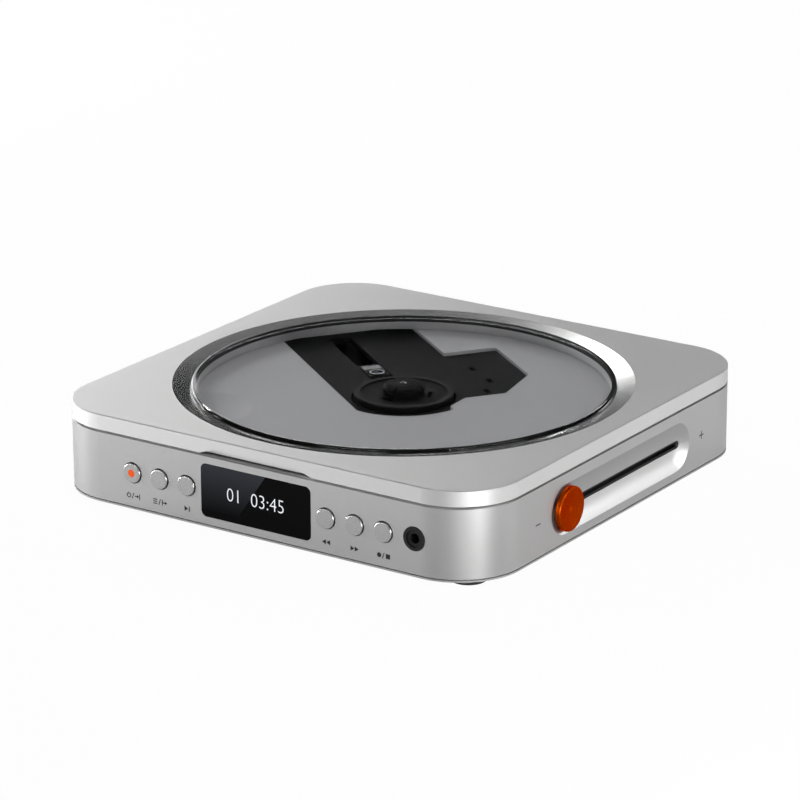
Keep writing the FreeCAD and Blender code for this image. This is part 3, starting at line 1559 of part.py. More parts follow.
def toothed(body, teeth, low, thickness, turn):
    pitch_radius = dim.gear_module * teeth / 2
    root_radius = pitch_radius - dim.gear_module * dim.tooth_root
    sketch = new_sketch(body, level=low)
    circle(sketch, root_radius)
    pad(body, sketch, thickness)
    sketch = new_sketch(body, level=low, turn=turn)
    tooth(sketch, pitch_radius, root_radius - dim.gear_module / 2)
    single = pad(body, sketch, thickness)
    around(body, [single], teeth)


def make_gear_train():
    pinion_radius = dim.gear_module * dim.pinion_teeth / 2
    wheel_radius = dim.gear_module * dim.wheel_teeth / 2
    motor_radius = dim.gear_module * dim.motor_teeth / 2
    pitch = dim.gear_module * math.pi
    wheel_top = dim.wheel_bottom + dim.wheel_thickness
    rack_top = dim.rack_bottom + dim.rack_thickness
    gear = new_body("sled_gear")
    toothed(gear, dim.wheel_teeth, dim.wheel_bottom, dim.wheel_thickness, -dim.sled_motor_turn)
    studs(gear, dim.gear_hub_radius, wheel_top, dim.rack_bottom, [(0, 0)])
    toothed(gear, dim.pinion_teeth, dim.rack_bottom, dim.rack_thickness, 0)
    holes(gear, dim.gear_bore, rack_top, rack_top - dim.wheel_bottom, [(0, 0)])
    swing(gear, dim.gear_x, dim.gear_y)
    axle = turned("gear_axle", [
        (0, dim.wheel_bottom - dim.gear_end_play * 2),
        (dim.gear_hub_radius, dim.wheel_bottom - dim.gear_end_play * 2),
        (dim.gear_hub_radius, dim.wheel_bottom - dim.gear_end_play),
        (dim.gear_axle_radius, dim.wheel_bottom - dim.gear_end_play),
        (dim.gear_axle_radius, chassis_bottom),
        (0, chassis_bottom),
    ])
    swing(axle, dim.gear_x, dim.gear_y)
    reach = wheel_radius + motor_radius
    bend = math.radians(dim.sled_motor_turn.value)
    bend_text = f"({dim.sled_motor_turn.text} * 1 deg)"
    motor_x = dim.gear_x + reach * Length(math.cos(bend), f"cos({bend_text})")
    motor_y = dim.gear_y - reach * Length(math.sin(bend), f"sin({bend_text})")
    low = chassis_bottom - dim.sled_motor_height
    bore = dim.sled_motor_shaft + dim.pin_play
    motor = turned("sled_motor", [
        (bore, low),
        (dim.sled_motor_radius, low),
        (dim.sled_motor_radius, chassis_bottom),
        (0, chassis_bottom),
        (0, low + dim.sled_motor_height / 2),
        (bore, low + dim.sled_motor_height / 2),
    ])
    swing(motor, motor_x, motor_y)
    pinion = new_body("motor_pinion")
    half_step = length(FULL_TURN) / (2 * dim.motor_teeth)
    toothed(pinion, dim.motor_teeth, dim.wheel_bottom, dim.wheel_thickness,
            half_step - dim.sled_motor_turn)
    shaft_top = low + dim.sled_motor_height / 2 - dim.gear_end_play
    studs(pinion, dim.sled_motor_shaft, wheel_top, shaft_top, [(0, 0)])
    swing(pinion, motor_x, motor_y)
    rack = new_body("sled_rack", turn=dim.drive_angle)
    line_x = dim.gear_x - pinion_radius
    start_y = dim.gear_y - dim.rack_lead * pitch
    end_y = start_y + dim.rack_teeth * pitch
    root_x = line_x - dim.gear_module * dim.tooth_root
    block(rack, dim.sled_half, root_x, start_y, end_y, dim.rack_bottom, rack_top)
    half = tooth_half()
    lean = dim.gear_module * dim.tooth_lean
    middle = start_y + pitch / 2
    sketch = new_sketch(rack, level=dim.rack_bottom)
    outline(sketch, [
        (dim.sled_half + dim.hole_play, middle - half - lean),
        (root_x, middle - half - lean),
        (line_x + dim.gear_module * dim.tooth_tip, middle - half + lean),
        (line_x + dim.gear_module * dim.tooth_tip, middle + half - lean),
        (root_x, middle + half + lean),
        (dim.sled_half + dim.hole_play, middle + half + lean),
    ])
    single = pad(rack, sketch, dim.rack_thickness)
    row_of_teeth = rack.newObject("PartDesign::LinearPattern", "Row")
    row_of_teeth.Originals = [single]
    row_of_teeth.Direction = (origin_feature(rack, "Y_Axis"), [""])
    run = (dim.rack_teeth - 1) * pitch
    row_of_teeth.setExpression("Length", run.text)
    row_of_teeth.Length = run.value
    row_of_teeth.setExpression("Occurrences", dim.rack_teeth.text)
    row_of_teeth.Occurrences = int(dim.rack_teeth.value)
    rack.Tip = row_of_teeth


make_base_shell()
make_bottom_plate()
make_feet()
make_disc_deck()
make_lid_frame()
make_lid_liner()
make_window()
make_magnets_and_bumpers()
make_hinges()
make_case_screws()
make_buttons()
make_key_switches()
make_front_board()
make_display()
make_headphone_jack()
make_fader()
make_rear_sockets()
make_main_board()
make_chassis()
make_turntable()
make_spindle_motor()
make_pickup()
make_gear_train()

doc.recompute()
failed = [item.Name for item in doc.Objects if "Invalid" in item.State or "Error" in item.State]
for body in subparts:
    if body.Shape.isNull() or not body.Shape.isValid():
        failed.append(body.Label)
if failed:
    raise RuntimeError("failed: " + ", ".join(failed))
for body in subparts:
    body.Shape.exportStep(f"parts/{body.Label}.step")
    box = body.Shape.BoundBox
    solids = len(body.Shape.Solids)
    print(f"{body.Label:20s} solids {solids:2d} volume {body.Shape.Volume:10.1f}"
          f" z {box.ZMin:6.2f} {box.ZMax:6.2f}")
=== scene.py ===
import bpy
import bmesh
import math
from mathutils import Matrix, Vector


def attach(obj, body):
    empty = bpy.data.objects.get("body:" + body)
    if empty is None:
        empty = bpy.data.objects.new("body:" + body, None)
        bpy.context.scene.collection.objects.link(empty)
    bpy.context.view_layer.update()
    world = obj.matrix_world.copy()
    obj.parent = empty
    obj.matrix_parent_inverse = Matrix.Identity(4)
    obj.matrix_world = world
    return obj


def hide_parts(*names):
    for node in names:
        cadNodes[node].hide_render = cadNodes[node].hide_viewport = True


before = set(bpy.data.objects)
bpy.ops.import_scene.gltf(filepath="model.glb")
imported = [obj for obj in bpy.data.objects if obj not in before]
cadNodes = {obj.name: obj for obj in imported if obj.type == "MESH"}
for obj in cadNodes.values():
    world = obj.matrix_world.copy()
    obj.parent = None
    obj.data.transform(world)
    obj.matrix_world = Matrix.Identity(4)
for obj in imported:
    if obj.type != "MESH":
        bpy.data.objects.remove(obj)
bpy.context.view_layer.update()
scene = bpy.context.scene
print("frame loaded")

# Everything is in metres. The case stands on z = 0, its front faces -Y and its fader side +X.
mm = 0.001
caseInfo = {"halfWidth": 90 * mm, "halfDepth": 89.25 * mm, "frontY": -89.25 * mm, "seamZ": 28.1 * mm,
            "topZ": 33.9 * mm, "keyZ": 15.3 * mm, "driveTurn": math.radians(53.5), "lift": 2 * mm}


# ---- camera and studio ----
cameraInfo = {"centreZ": 17.97 * mm, "azimuth": 34.111, "elevation": 18.801, "roll": -0.225,
              "distance": 1.4089, "across": -1.351 * mm, "up": 7.651 * mm, "lens": 179.38, "sensor": 36}


def addCamera(info):
    a, e, r = (math.radians(info[key]) for key in ("azimuth", "elevation", "roll"))
    back = Vector((math.sin(a) * math.cos(e), -math.cos(a) * math.cos(e), math.sin(e)))
    flatRight = Vector((math.cos(a), math.sin(a), 0))
    flatUp = back.cross(flatRight)
    right = flatRight * math.cos(r) + flatUp * math.sin(r)
    up = flatUp * math.cos(r) - flatRight * math.sin(r)
    turn = Matrix((right, up, back)).transposed().to_4x4()
    place = Vector((0, 0, info["centreZ"])) + right * info["across"] + up * info["up"] + back * info["distance"]
    data = bpy.data.cameras.new("photoCamera")
    data.lens = info["lens"]
    data.sensor_width = info["sensor"]
    data.clip_end = 50
    camera = bpy.data.objects.new("photoCamera", data)
    camera.matrix_world = Matrix.Translation(place) @ turn
    scene.collection.objects.link(camera)
    scene.camera = camera


studio = {"floorSize": 14.0, "floorColour": 0.85, "cameraShare": 0.97, "glossShare": 0.16,
          "sky": ((0.0, 0.0), (0.14, 0.05), (0.26, 0.0), (0.36, 0.0), (0.55, 0.12), (0.75, 0.14), (1.0, 0.16)),  # height, level
          "lamps": {  # name: azimuth, elevation, distance, width, height, watts
              "farCard": (224.5, 17, 3.00, 0.58, 0.95, 3.2),
              "farHighCard": (220.5, 29, 3.00, 0.60, 0.80, 0.9),
              "keyBehind": (217, 27, 2.00, 0.25, 0.22, 1.1),
              "keyLeft": (250, 27, 1.10, 0.10, 0.10, 3.4),
              "backBank": (180, 34, 0.95, 0.30, 0.30, 1.4),
              "leftBack": (243, 10, 0.90, 0.30, 0.22, 0.8),
              "frontCard": (4, 42, 1.40, 0.70, 0.42, 2.4),
              "leftEnd": (-105, 10, 0.90, 0.30, 0.22, 0.4),
              "frontStripLeft": (-70, 2, 0.90, 0.34, 0.08, 5.5),
              "frontStripRight": (-35, 2, 0.90, 0.34, 0.08, 1.2),
              "cornerStrip": (60, 4, 0.45, 0.07, 0.10, 0.74),
              "cornerCard": (40, 2, 0.90, 0.34, 0.08, 1.2),
              "sideBank": (84, 42, 0.95, 0.60, 0.45, 1.2),
              "sideStripMiddle": (118, 2, 0.90, 0.34, 0.08, 1.9),
              "sideStripBack": (150, 2, 0.90, 0.34, 0.08, 0.45)}}


def addLamp(name, azimuth, elevation, distance, width, height, watts):
    a, e = math.radians(azimuth), math.radians(elevation)
    away = Vector((math.sin(a) * math.cos(e), -math.cos(a) * math.cos(e), math.sin(e)))
    data = bpy.data.lights.new(name, "AREA")
    data.shape = "RECTANGLE"
    data.size, data.size_y, data.energy = width, height, watts
    lamp = bpy.data.objects.new(name, data)
    place = away * distance + Vector((0, 0, caseInfo["keyZ"]))
    level = Vector((math.cos(a), math.sin(a), 0))
    turn = Matrix((level, away.cross(level), away)).transposed().to_4x4()
    lamp.matrix_world = Matrix.Translation(place) @ turn
    lamp.visible_camera = False
    scene.collection.objects.link(lamp)


def addStudio(info):
    scene.view_settings.view_transform = "Standard"
    world = bpy.data.worlds.new("studioWorld")
    scene.world = world
    world.use_nodes = True
    nodes, links = world.node_tree.nodes, world.node_tree.links
    background = nodes["Background"]
    spot = nodes.new("ShaderNodeTexCoord")
    split = nodes.new("ShaderNodeSeparateXYZ")
    ramp = nodes.new("ShaderNodeValToRGB")
    links.new(spot.outputs["Generated"], split.inputs[0])
    links.new(split.outputs["Z"], ramp.inputs["Fac"])
    stops = ramp.color_ramp.elements
    while len(stops) < len(info["sky"]):
        stops.new(0.5)
    for stop, (place, level) in zip(stops, info["sky"]):
        stop.position = place
        stop.color = (level, level, level, 1)
    path = nodes.new("ShaderNodeLightPath")
    seen = nodes.new("ShaderNodeMix")
    seen.data_type = "RGBA"
    links.new(path.outputs["Is Camera Ray"], seen.inputs[0])
    links.new(ramp.outputs["Color"], seen.inputs[6])
    seen.inputs[7].default_value = (1, 1, 1, 1)
    links.new(seen.outputs[2], background.inputs["Color"])
    half = info["floorSize"] / 2
    mesh = bpy.data.meshes.new("studioFloor")
    mesh.from_pydata([(-half, -half, 0), (half, -half, 0), (half, half, 0), (-half, half, 0)], [], [(0, 1, 2, 3)])
    floor = bpy.data.objects.new("studioFloor", mesh)
    scene.collection.objects.link(floor)
    mesh.materials.append(floorPaper(info))
    for name, values in info["lamps"].items():
        addLamp(name, *values)


def floorPaper(info):
    # White to the camera and through glass, dimmer in the metal's reflections, and it keeps a soft shadow.
    paint = bpy.data.materials.new("floorPaper")
    paint.use_nodes = True
    nodes, links = paint.node_tree.nodes, paint.node_tree.links
    nodes.clear()
    output = nodes.new("ShaderNodeOutputMaterial")
    mix = nodes.new("ShaderNodeMixShader")
    matte = nodes.new("ShaderNodeBsdfDiffuse")
    matte.inputs["Color"].default_value = (info["floorColour"],) * 3 + (1,)
    glow = nodes.new("ShaderNodeEmission")
    path = nodes.new("ShaderNodeLightPath")
    shares = []
    for ray, share in (("Is Camera Ray", info["cameraShare"]), ("Is Glossy Ray", info["glossShare"]),
                       ("Is Transmission Ray", info["cameraShare"])):
        part = nodes.new("ShaderNodeMath")
        part.operation = "MULTIPLY"
        part.inputs[1].default_value = share
        links.new(path.outputs[ray], part.inputs[0])
        shares.append(part.outputs[0])
    total = shares[0]
    for share in shares[1:]:
        most = nodes.new("ShaderNodeMath")
        most.operation = "MAXIMUM"
        links.new(total, most.inputs[0])
        links.new(share, most.inputs[1])
        total = most.outputs[0]
    links.new(total, mix.inputs["Fac"])
    links.new(matte.outputs[0], mix.inputs[1])
    links.new(glow.outputs[0], mix.inputs[2])
    links.new(mix.outputs[0], output.inputs["Surface"])
    return paint


addCamera(cameraInfo)
addStudio(studio)
print("camera and studio ready")


# ---- shared effects, each a node group that puts out masks and heights ----
def newGroup(name, inputs, outputs):
    tree = bpy.data.node_groups.new(name, "ShaderNodeTree")
    for label, value in inputs:
        socket = tree.interface.new_socket(label, in_out="INPUT", socket_type="NodeSocketFloat")
        socket.default_value = value
    for label in outputs:
        tree.interface.new_socket(label, in_out="OUTPUT", socket_type="NodeSocketFloat")
    return tree, tree.nodes.new("NodeGroupInput"), tree.nodes.new("NodeGroupOutput")


def maths(tree, operation, first, second=None, clamp=False):
    node = tree.nodes.new("ShaderNodeMath")
    node.operation = operation
    node.use_clamp = clamp
    for socket, value in zip(node.inputs, (first, second)):
        if value is None:
            continue
        if isinstance(value, (int, float)):
            socket.default_value = value
        else:
            tree.links.new(value, socket)
    return node.outputs[0]


def noise(tree, coordinates, scale, detail=2.0):
    node = tree.nodes.new("ShaderNodeTexNoise")
    node.inputs["Detail"].default_value = detail
    tree.links.new(coordinates, node.inputs["Vector"])
    if isinstance(scale, (int, float)):
        node.inputs["Scale"].default_value = scale
    else:
        tree.links.new(scale, node.inputs["Scale"])
    return node.outputs["Fac"]


def makeGrainGroup():
    # Fine even grain with a slow drift, for blasted metal and moulded plastic.
    tree, given, result = newGroup("fineGrain", [("Scale", 3000.0), ("Drift", 0.3)], ["Height", "Tone"])
    spot = tree.nodes.new("ShaderNodeTexCoord").outputs["Object"]
    fine = noise(tree, spot, given.outputs["Scale"], 1.0)
    slow = noise(tree, spot, 22.0, 3.0)
    drift = maths(tree, "MULTIPLY", slow, given.outputs["Drift"])
    keep = maths(tree, "SUBTRACT", 1.0, given.outputs["Drift"])
    tree.links.new(fine, result.inputs["Height"])
    tree.links.new(maths(tree, "ADD", maths(tree, "MULTIPLY", fine, keep), drift), result.inputs["Tone"])
    return tree


def makeBrushGroup():
    # Straight brush lines along X, or turned lines round Z where Round is 1.
    tree, given, result = newGroup("brushLines", [("Scale", 400.0), ("Round", 0.0)], ["Height"])
    spot = tree.nodes.new("ShaderNodeTexCoord").outputs["Object"]
    split = tree.nodes.new("ShaderNodeSeparateXYZ")
    tree.links.new(spot, split.inputs[0])
    x, y, z = split.outputs
    radius = maths(tree, "SQRT", maths(tree, "ADD", maths(tree, "MULTIPLY", x, x), maths(tree, "MULTIPLY", y, y)))
    across = tree.nodes.new("ShaderNodeMix")
    tree.links.new(given.outputs["Round"], across.inputs[0])
    tree.links.new(y, across.inputs[2])
    tree.links.new(radius, across.inputs[3])
    pack = tree.nodes.new("ShaderNodeCombineXYZ")
    tree.links.new(maths(tree, "MULTIPLY", x, 0.02), pack.inputs[0])
    tree.links.new(across.outputs[0], pack.inputs[1])
    tree.links.new(z, pack.inputs[2])
    tree.links.new(noise(tree, pack.outputs[0], given.outputs["Scale"], 4.0), result.inputs["Height"])
    return tree


def makeEdgeGroup():
    # A soft mask along hard edges, from a small rounded normal, broken into patches by noise; it lightens the colour
    # there.
    tree, given, result = newGroup("edgePatches", [("Radius", 0.0004), ("Gain", 3.0)], ["Mask"])
    bevel = tree.nodes.new("ShaderNodeBevel")
    bevel.samples = 4
    tree.links.new(given.outputs["Radius"], bevel.inputs["Radius"])
    flat = tree.nodes.new("ShaderNodeNewGeometry")
    dot = tree.nodes.new("ShaderNodeVectorMath")
    dot.operation = "DOT_PRODUCT"
    tree.links.new(bevel.outputs[0], dot.inputs[0])
    tree.links.new(flat.outputs["Normal"], dot.inputs[1])
    bend = maths(tree, "SUBTRACT", 1.0, dot.outputs["Value"], clamp=True)
    spot = tree.nodes.new("ShaderNodeTexCoord").outputs["Object"]
    patchy = maths(tree, "MULTIPLY", bend, noise(tree, spot, 160.0, 3.0))
    tree.links.new(maths(tree, "MULTIPLY", patchy, given.outputs["Gain"], clamp=True), result.inputs["Mask"])
    return tree


def makeSpeckGroup():
    # Sparse fine specks, for dust on dark plastic and flakes in boards.
    tree, given, result = newGroup("fineSpecks", [("Scale", 900.0), ("Amount", 0.06)], ["Mask"])
    spot = tree.nodes.new("ShaderNodeTexCoord").outputs["Object"]
    cells = tree.nodes.new("ShaderNodeTexVoronoi")
    tree.links.new(spot, cells.inputs["Vector"])
    tree.links.new(given.outputs["Scale"], cells.inputs["Scale"])
    near = maths(tree, "SUBTRACT", given.outputs["Amount"], cells.outputs["Distance"])
    tree.links.new(maths(tree, "MULTIPLY", near, 20.0, clamp=True), result.inputs["Mask"])
    return tree


def makeRingGroup():
    # One between two radii round the middle of the lid, nothing elsewhere.
    tree, given, result = newGroup("ringZone", [("Inner", 0.0), ("Outer", 0.08)], ["Mask"])
    split = tree.nodes.new("ShaderNodeSeparateXYZ")
    tree.links.new(tree.nodes.new("ShaderNodeTexCoord").outputs["Object"], split.inputs[0])
    x, y = split.outputs[0], split.outputs[1]
    radius = maths(tree, "SQRT", maths(tree, "ADD", maths(tree, "MULTIPLY", x, x), maths(tree, "MULTIPLY", y, y)))
    inside = maths(tree, "LESS_THAN", radius, given.outputs["Outer"])
    outside = maths(tree, "GREATER_THAN", radius, given.outputs["Inner"])
    tree.links.new(maths(tree, "MULTIPLY", inside, outside), result.inputs["Mask"])
    return tree


effects = {"grain": makeGrainGroup(), "brush": makeBrushGroup(), "edge": makeEdgeGroup(), "speck": makeSpeckGroup(),
           "ring": makeRingGroup()}


def useEffect(tree, effect, **values):
    node = tree.nodes.new("ShaderNodeGroup")
    node.node_tree = effects[effect]
    for label, value in values.items():
        node.inputs[label].default_value = value
    return node.outputs


def blendColour(tree, mask, low, high):
    node = tree.nodes.new("ShaderNodeMix")
    node.data_type = "RGBA"
    tree.links.new(mask, node.inputs[0])
    for socket, colour in ((node.inputs[6], low), (node.inputs[7], high)):
        if isinstance(colour, tuple):
            socket.default_value = colour + (1,)
        else:
            tree.links.new(colour, socket)
    return node.outputs[2]


def spread(tree, value, low, high):
    node = tree.nodes.new("ShaderNodeMapRange")
    node.inputs["To Min"].default_value = low
    node.inputs["To Max"].default_value = high
    node.inputs["From Min"].default_value = 0.3
    node.inputs["From Max"].default_value = 0.7
    tree.links.new(value, node.inputs["Value"])
    return node.outputs[0]


def newFinish(name, **sockets):
    finish = bpy.data.materials.new(name)
    finish.use_nodes = True
    tree = finish.node_tree
    shader = tree.nodes["Principled BSDF"]
    for label, value in sockets.items():
        shader.inputs[label.replace("_", " ")].default_value = value
    return finish, tree, shader


def bump(tree, shader, height, strength, distance):
    node = tree.nodes.new("ShaderNodeBump")
    node.inputs["Strength"].default_value = strength
    node.inputs["Distance"].default_value = distance
    tree.links.new(height, node.inputs["Height"])
    tree.links.new(node.outputs[0], shader.inputs["Normal"])


def grainyFinish(name, low, high, rough, metal=0.0, scale=3000.0, drift=0.3, depth=0.15, edge=None, specks=None,
                 **sockets):
    # Colour drifts between two close tones, roughness follows, and the grain gives a little relief.
    finish, tree, shader = newFinish(name, Metallic=metal, **sockets)
    grain = useEffect(tree, "grain", Scale=scale, Drift=drift)
    colour = blendColour(tree, spread(tree, grain["Tone"], 0.0, 1.0), low, high)
    if edge:
        mask = useEffect(tree, "edge", Radius=0.0003, Gain=edge[1])["Mask"]
        colour = blendColour(tree, mask, colour, edge[0])
    if specks:
        mask = useEffect(tree, "speck", Scale=specks[1], Amount=specks[2])["Mask"]
        colour = blendColour(tree, mask, colour, specks[0])
    tree.links.new(colour, shader.inputs["Base Color"])
    tree.links.new(spread(tree, grain["Tone"], rough[0], rough[1]), shader.inputs["Roughness"])
    bump(tree, shader, grain["Height"], depth, 0.00002)
    return finish


def lidFinish(name, low, high, rough, bezelRough, bezel):
    # Blasted metal like the case, with the cone round the window turned bright and smooth.
    finish, tree, shader = newFinish(name, Metallic=1.0)
    grain = useEffect(tree, "grain", Scale=3500.0, Drift=0.25)
    zone = useEffect(tree, "ring", Inner=bezel[0], Outer=bezel[1])["Mask"]
    blasted = blendColour(tree, spread(tree, grain["Tone"], 0.0, 1.0), low, high)
    tree.links.new(blendColour(tree, zone, blasted, bezel[2]), shader.inputs["Base Color"])
    mix = tree.nodes.new("ShaderNodeMix")
    tree.links.new(zone, mix.inputs[0])
    tree.links.new(spread(tree, grain["Tone"], rough[0], rough[1]), mix.inputs[2])
    tree.links.new(spread(tree, grain["Tone"], *bezelRough), mix.inputs[3])
    tree.links.new(mix.outputs[0], shader.inputs["Roughness"])
    relief = maths(tree, "MULTIPLY", grain["Height"], maths(tree, "SUBTRACT", 1.0, zone))
    bump(tree, shader, relief, 0.1, 0.00002)
    return finish


def displayFinish(name, dark, paintedSheen, info):
    # Black glass with a painted reflection: a lighter tone in its upper left part that thins out downwards.
    finish, tree, shader = newFinish(name, Specular_IOR_Level=0.06)
    split = tree.nodes.new("ShaderNodeSeparateXYZ")
    tree.links.new(tree.nodes.new("ShaderNodeTexCoord").outputs["Object"], split.inputs[0])
    x, z = split.outputs[0], split.outputs[2]
    down = maths(tree, "SUBTRACT", info["fromZ"], z)
    slant = maths(tree, "ADD", x, maths(tree, "MULTIPLY", down, info["slope"]))
    inside = maths(tree, "MULTIPLY", maths(tree, "SUBTRACT", info["edgeX"], slant), 6000.0, clamp=True)
    fade = tree.nodes.new("ShaderNodeMapRange")
    fade.inputs["From Min"].default_value = info["fadeZ"]
    fade.inputs["From Max"].default_value = info["fromZ"]
    tree.links.new(z, fade.inputs["Value"])
    # Mask of the painted reflection: the lighter tone left of a slanted edge, fading towards the bottom.
    paintedReflection = maths(tree, "MULTIPLY", inside, fade.outputs[0])
    tree.links.new(blendColour(tree, paintedReflection, dark, paintedSheen), shader.inputs["Base Color"])
    grain = useEffect(tree, "grain", Scale=200.0, Drift=0.7)
    tree.links.new(spread(tree, grain["Tone"], 0.05, 0.09), shader.inputs["Roughness"])
    bump(tree, shader, grain["Height"], 0.01, 0.00002)
    return finish


def brushedFinish(name, low, high, rough, scale=400.0, turned=0.0, metal=1.0, depth=0.2, **sockets):
    finish, tree, shader = newFinish(name, Metallic=metal, **sockets)
    lines = useEffect(tree, "brush", Scale=scale, Round=turned)["Height"]
    tree.links.new(blendColour(tree, spread(tree, lines, 0.0, 1.0), low, high), shader.inputs["Base Color"])
    tree.links.new(spread(tree, lines, rough[0], rough[1]), shader.inputs["Roughness"])
    bump(tree, shader, lines, depth, 0.00002)
    return finish


def clearFinish(name, colour, rough, ior, level=0.5):
    # Clear plastic or glass that lets lamp light through to what lies under it.
    finish, tree, shader = newFinish(name, Roughness=rough, IOR=ior, Transmission_Weight=1.0)
    shader.inputs["Specular IOR Level"].default_value = level
    tone = useEffect(tree, "grain", Scale=300.0, Drift=0.7)["Tone"]
    tree.links.new(blendColour(tree, spread(tree, tone, 0.0, 1.0), colour, tuple(c * 0.97 for c in colour)),
                   shader.inputs["Base Color"])
    path = tree.nodes.new("ShaderNodeLightPath")
    clear = tree.nodes.new("ShaderNodeBsdfTransparent")
    clear.inputs["Color"].default_value = colour + (1,)
    mix = tree.nodes.new("ShaderNodeMixShader")
    tree.links.new(path.outputs["Is Shadow Ray"], mix.inputs["Fac"])
    tree.links.new(shader.outputs[0], mix.inputs[1])
    tree.links.new(clear.outputs[0], mix.inputs[2])
    tree.links.new(mix.outputs[0], tree.nodes["Material Output"].inputs["Surface"])
    return finish


finishes = {
    "blastedAluminium": grainyFinish("blastedAluminium", (0.50, 0.50, 0.50), (0.54, 0.54, 0.54), (0.34, 0.40),
                                     metal=1.0, scale=3500.0, drift=0.25, depth=0.1),
    "lidAluminium": lidFinish("lidAluminium", (0.60, 0.60, 0.60), (0.64, 0.64, 0.64), (0.46, 0.52), (0.19, 0.23),
                              (0.0733, 0.08155, (0.6, 0.6, 0.6))),
    "keyAluminium": grainyFinish("keyAluminium", (0.52, 0.52, 0.52), (0.56, 0.56, 0.56), (0.26, 0.32),
                                 metal=1.0, scale=3500.0, drift=0.2, depth=0.08),
    "deckPaint": grainyFinish("deckPaint", (0.58, 0.58, 0.59), (0.63, 0.63, 0.64), (0.42, 0.55), metal=0.1,
                              scale=2600.0, depth=0.12),
    "baseTray": grainyFinish("baseTray", (0.34, 0.34, 0.345), (0.40, 0.40, 0.405), (0.4, 0.5), metal=0.6, depth=0.12),
    "mouldedBlack": grainyFinish("mouldedBlack", (0.011, 0.011, 0.012), (0.018, 0.018, 0.019), (0.45, 0.6),
                                 scale=1800.0, depth=0.3, edge=((0.06, 0.06, 0.062), 1.5),
                                 specks=((0.05, 0.05, 0.052), 900.0, 0.04)),
    "driveBlack": grainyFinish("driveBlack", (0.007, 0.007, 0.007), (0.011, 0.011, 0.011), (0.5, 0.6),
                               scale=1500.0, depth=0.3, edge=((0.03, 0.03, 0.03), 1.5), Specular_IOR_Level=0.1),
    "softRubber": grainyFinish("softRubber", (0.012, 0.012, 0.012), (0.02, 0.02, 0.02), (0.75, 0.88),
                               scale=1200.0, depth=0.4),
    "orangeAnodised": grainyFinish("orangeAnodised", (0.40, 0.045, 0.001), (0.46, 0.055, 0.002), (0.24, 0.32), metal=1.0,
                                   Specular_Tint=(1.0, 0.35, 0.08, 1.0),
                                   scale=2500.0, depth=0.06),
    "orangeLens": grainyFinish("orangeLens", (0.86, 0.09, 0.004), (0.92, 0.11, 0.006), (0.3, 0.36), scale=600.0,
                               depth=0.05, Specular_IOR_Level=0.3),
    # The second colour is the painted reflection in the display's upper left part.
    "displayGlass": displayFinish("displayGlass", (0.002, 0.002, 0.0025), (0.032, 0.035, 0.042),
                                  {"slope": 0.7, "edgeX": 4.3 * mm, "fromZ": 24.8 * mm, "fadeZ": 8 * mm}),
    "socketBlack": grainyFinish("socketBlack", (0.005, 0.005, 0.005), (0.008, 0.008, 0.008), (0.42, 0.5),
                                scale=1500.0, depth=0.2, edge=((0.03, 0.03, 0.03), 1.5), Specular_IOR_Level=0.25),
    "deepBlack": grainyFinish("deepBlack", (0.003, 0.003, 0.003), (0.006, 0.006, 0.006), (0.6, 0.7),
                              Specular_IOR_Level=0.2),
    "boardGreen": grainyFinish("boardGreen", (0.008, 0.07, 0.03), (0.012, 0.10, 0.045), (0.3, 0.4), scale=300.0,
                               specks=((0.6, 0.5, 0.3), 420.0, 0.12)),
    "naturalNylon": grainyFinish("naturalNylon", (0.72, 0.7, 0.64), (0.78, 0.76, 0.7), (0.4, 0.5), scale=900.0),
    "magnetNickel": grainyFinish("magnetNickel", (0.6, 0.6, 0.58), (0.7, 0.7, 0.68), (0.15, 0.25), metal=1.0),
    "whiteInk": grainyFinish("whiteInk", (0.75, 0.77, 0.8), (0.8, 0.82, 0.85), (0.3, 0.4), scale=2000.0,
                             Emission_Strength=0.15, Emission_Color=(0.8, 0.86, 0.95, 1)),
    "greyInk": grainyFinish("greyInk", (0.014, 0.014, 0.015), (0.022, 0.022, 0.023), (0.5, 0.6), scale=4000.0,
                            Specular_IOR_Level=0.2),
    "brushedSteel": brushedFinish("brushedSteel", (0.44, 0.44, 0.45), (0.56, 0.56, 0.57), (0.24, 0.4)),
    "turnedSteel": brushedFinish("turnedSteel", (0.5, 0.5, 0.51), (0.62, 0.62, 0.63), (0.16, 0.3), 900.0, 1.0),
    "darkScrew": brushedFinish("darkScrew", (0.10, 0.10, 0.11), (0.18, 0.18, 0.19), (0.25, 0.4), 900.0, 1.0),
    "goldPlate": brushedFinish("goldPlate", (0.72, 0.5, 0.2), (0.8, 0.6, 0.3), (0.15, 0.28), 700.0),
    "smokedAcrylic": clearFinish("smokedAcrylic", (0.88, 0.88, 0.885), 0.02, 1.49),
    "coatedLens": clearFinish("coatedLens", (0.55, 0.62, 0.85), 0.02, 1.5),
}

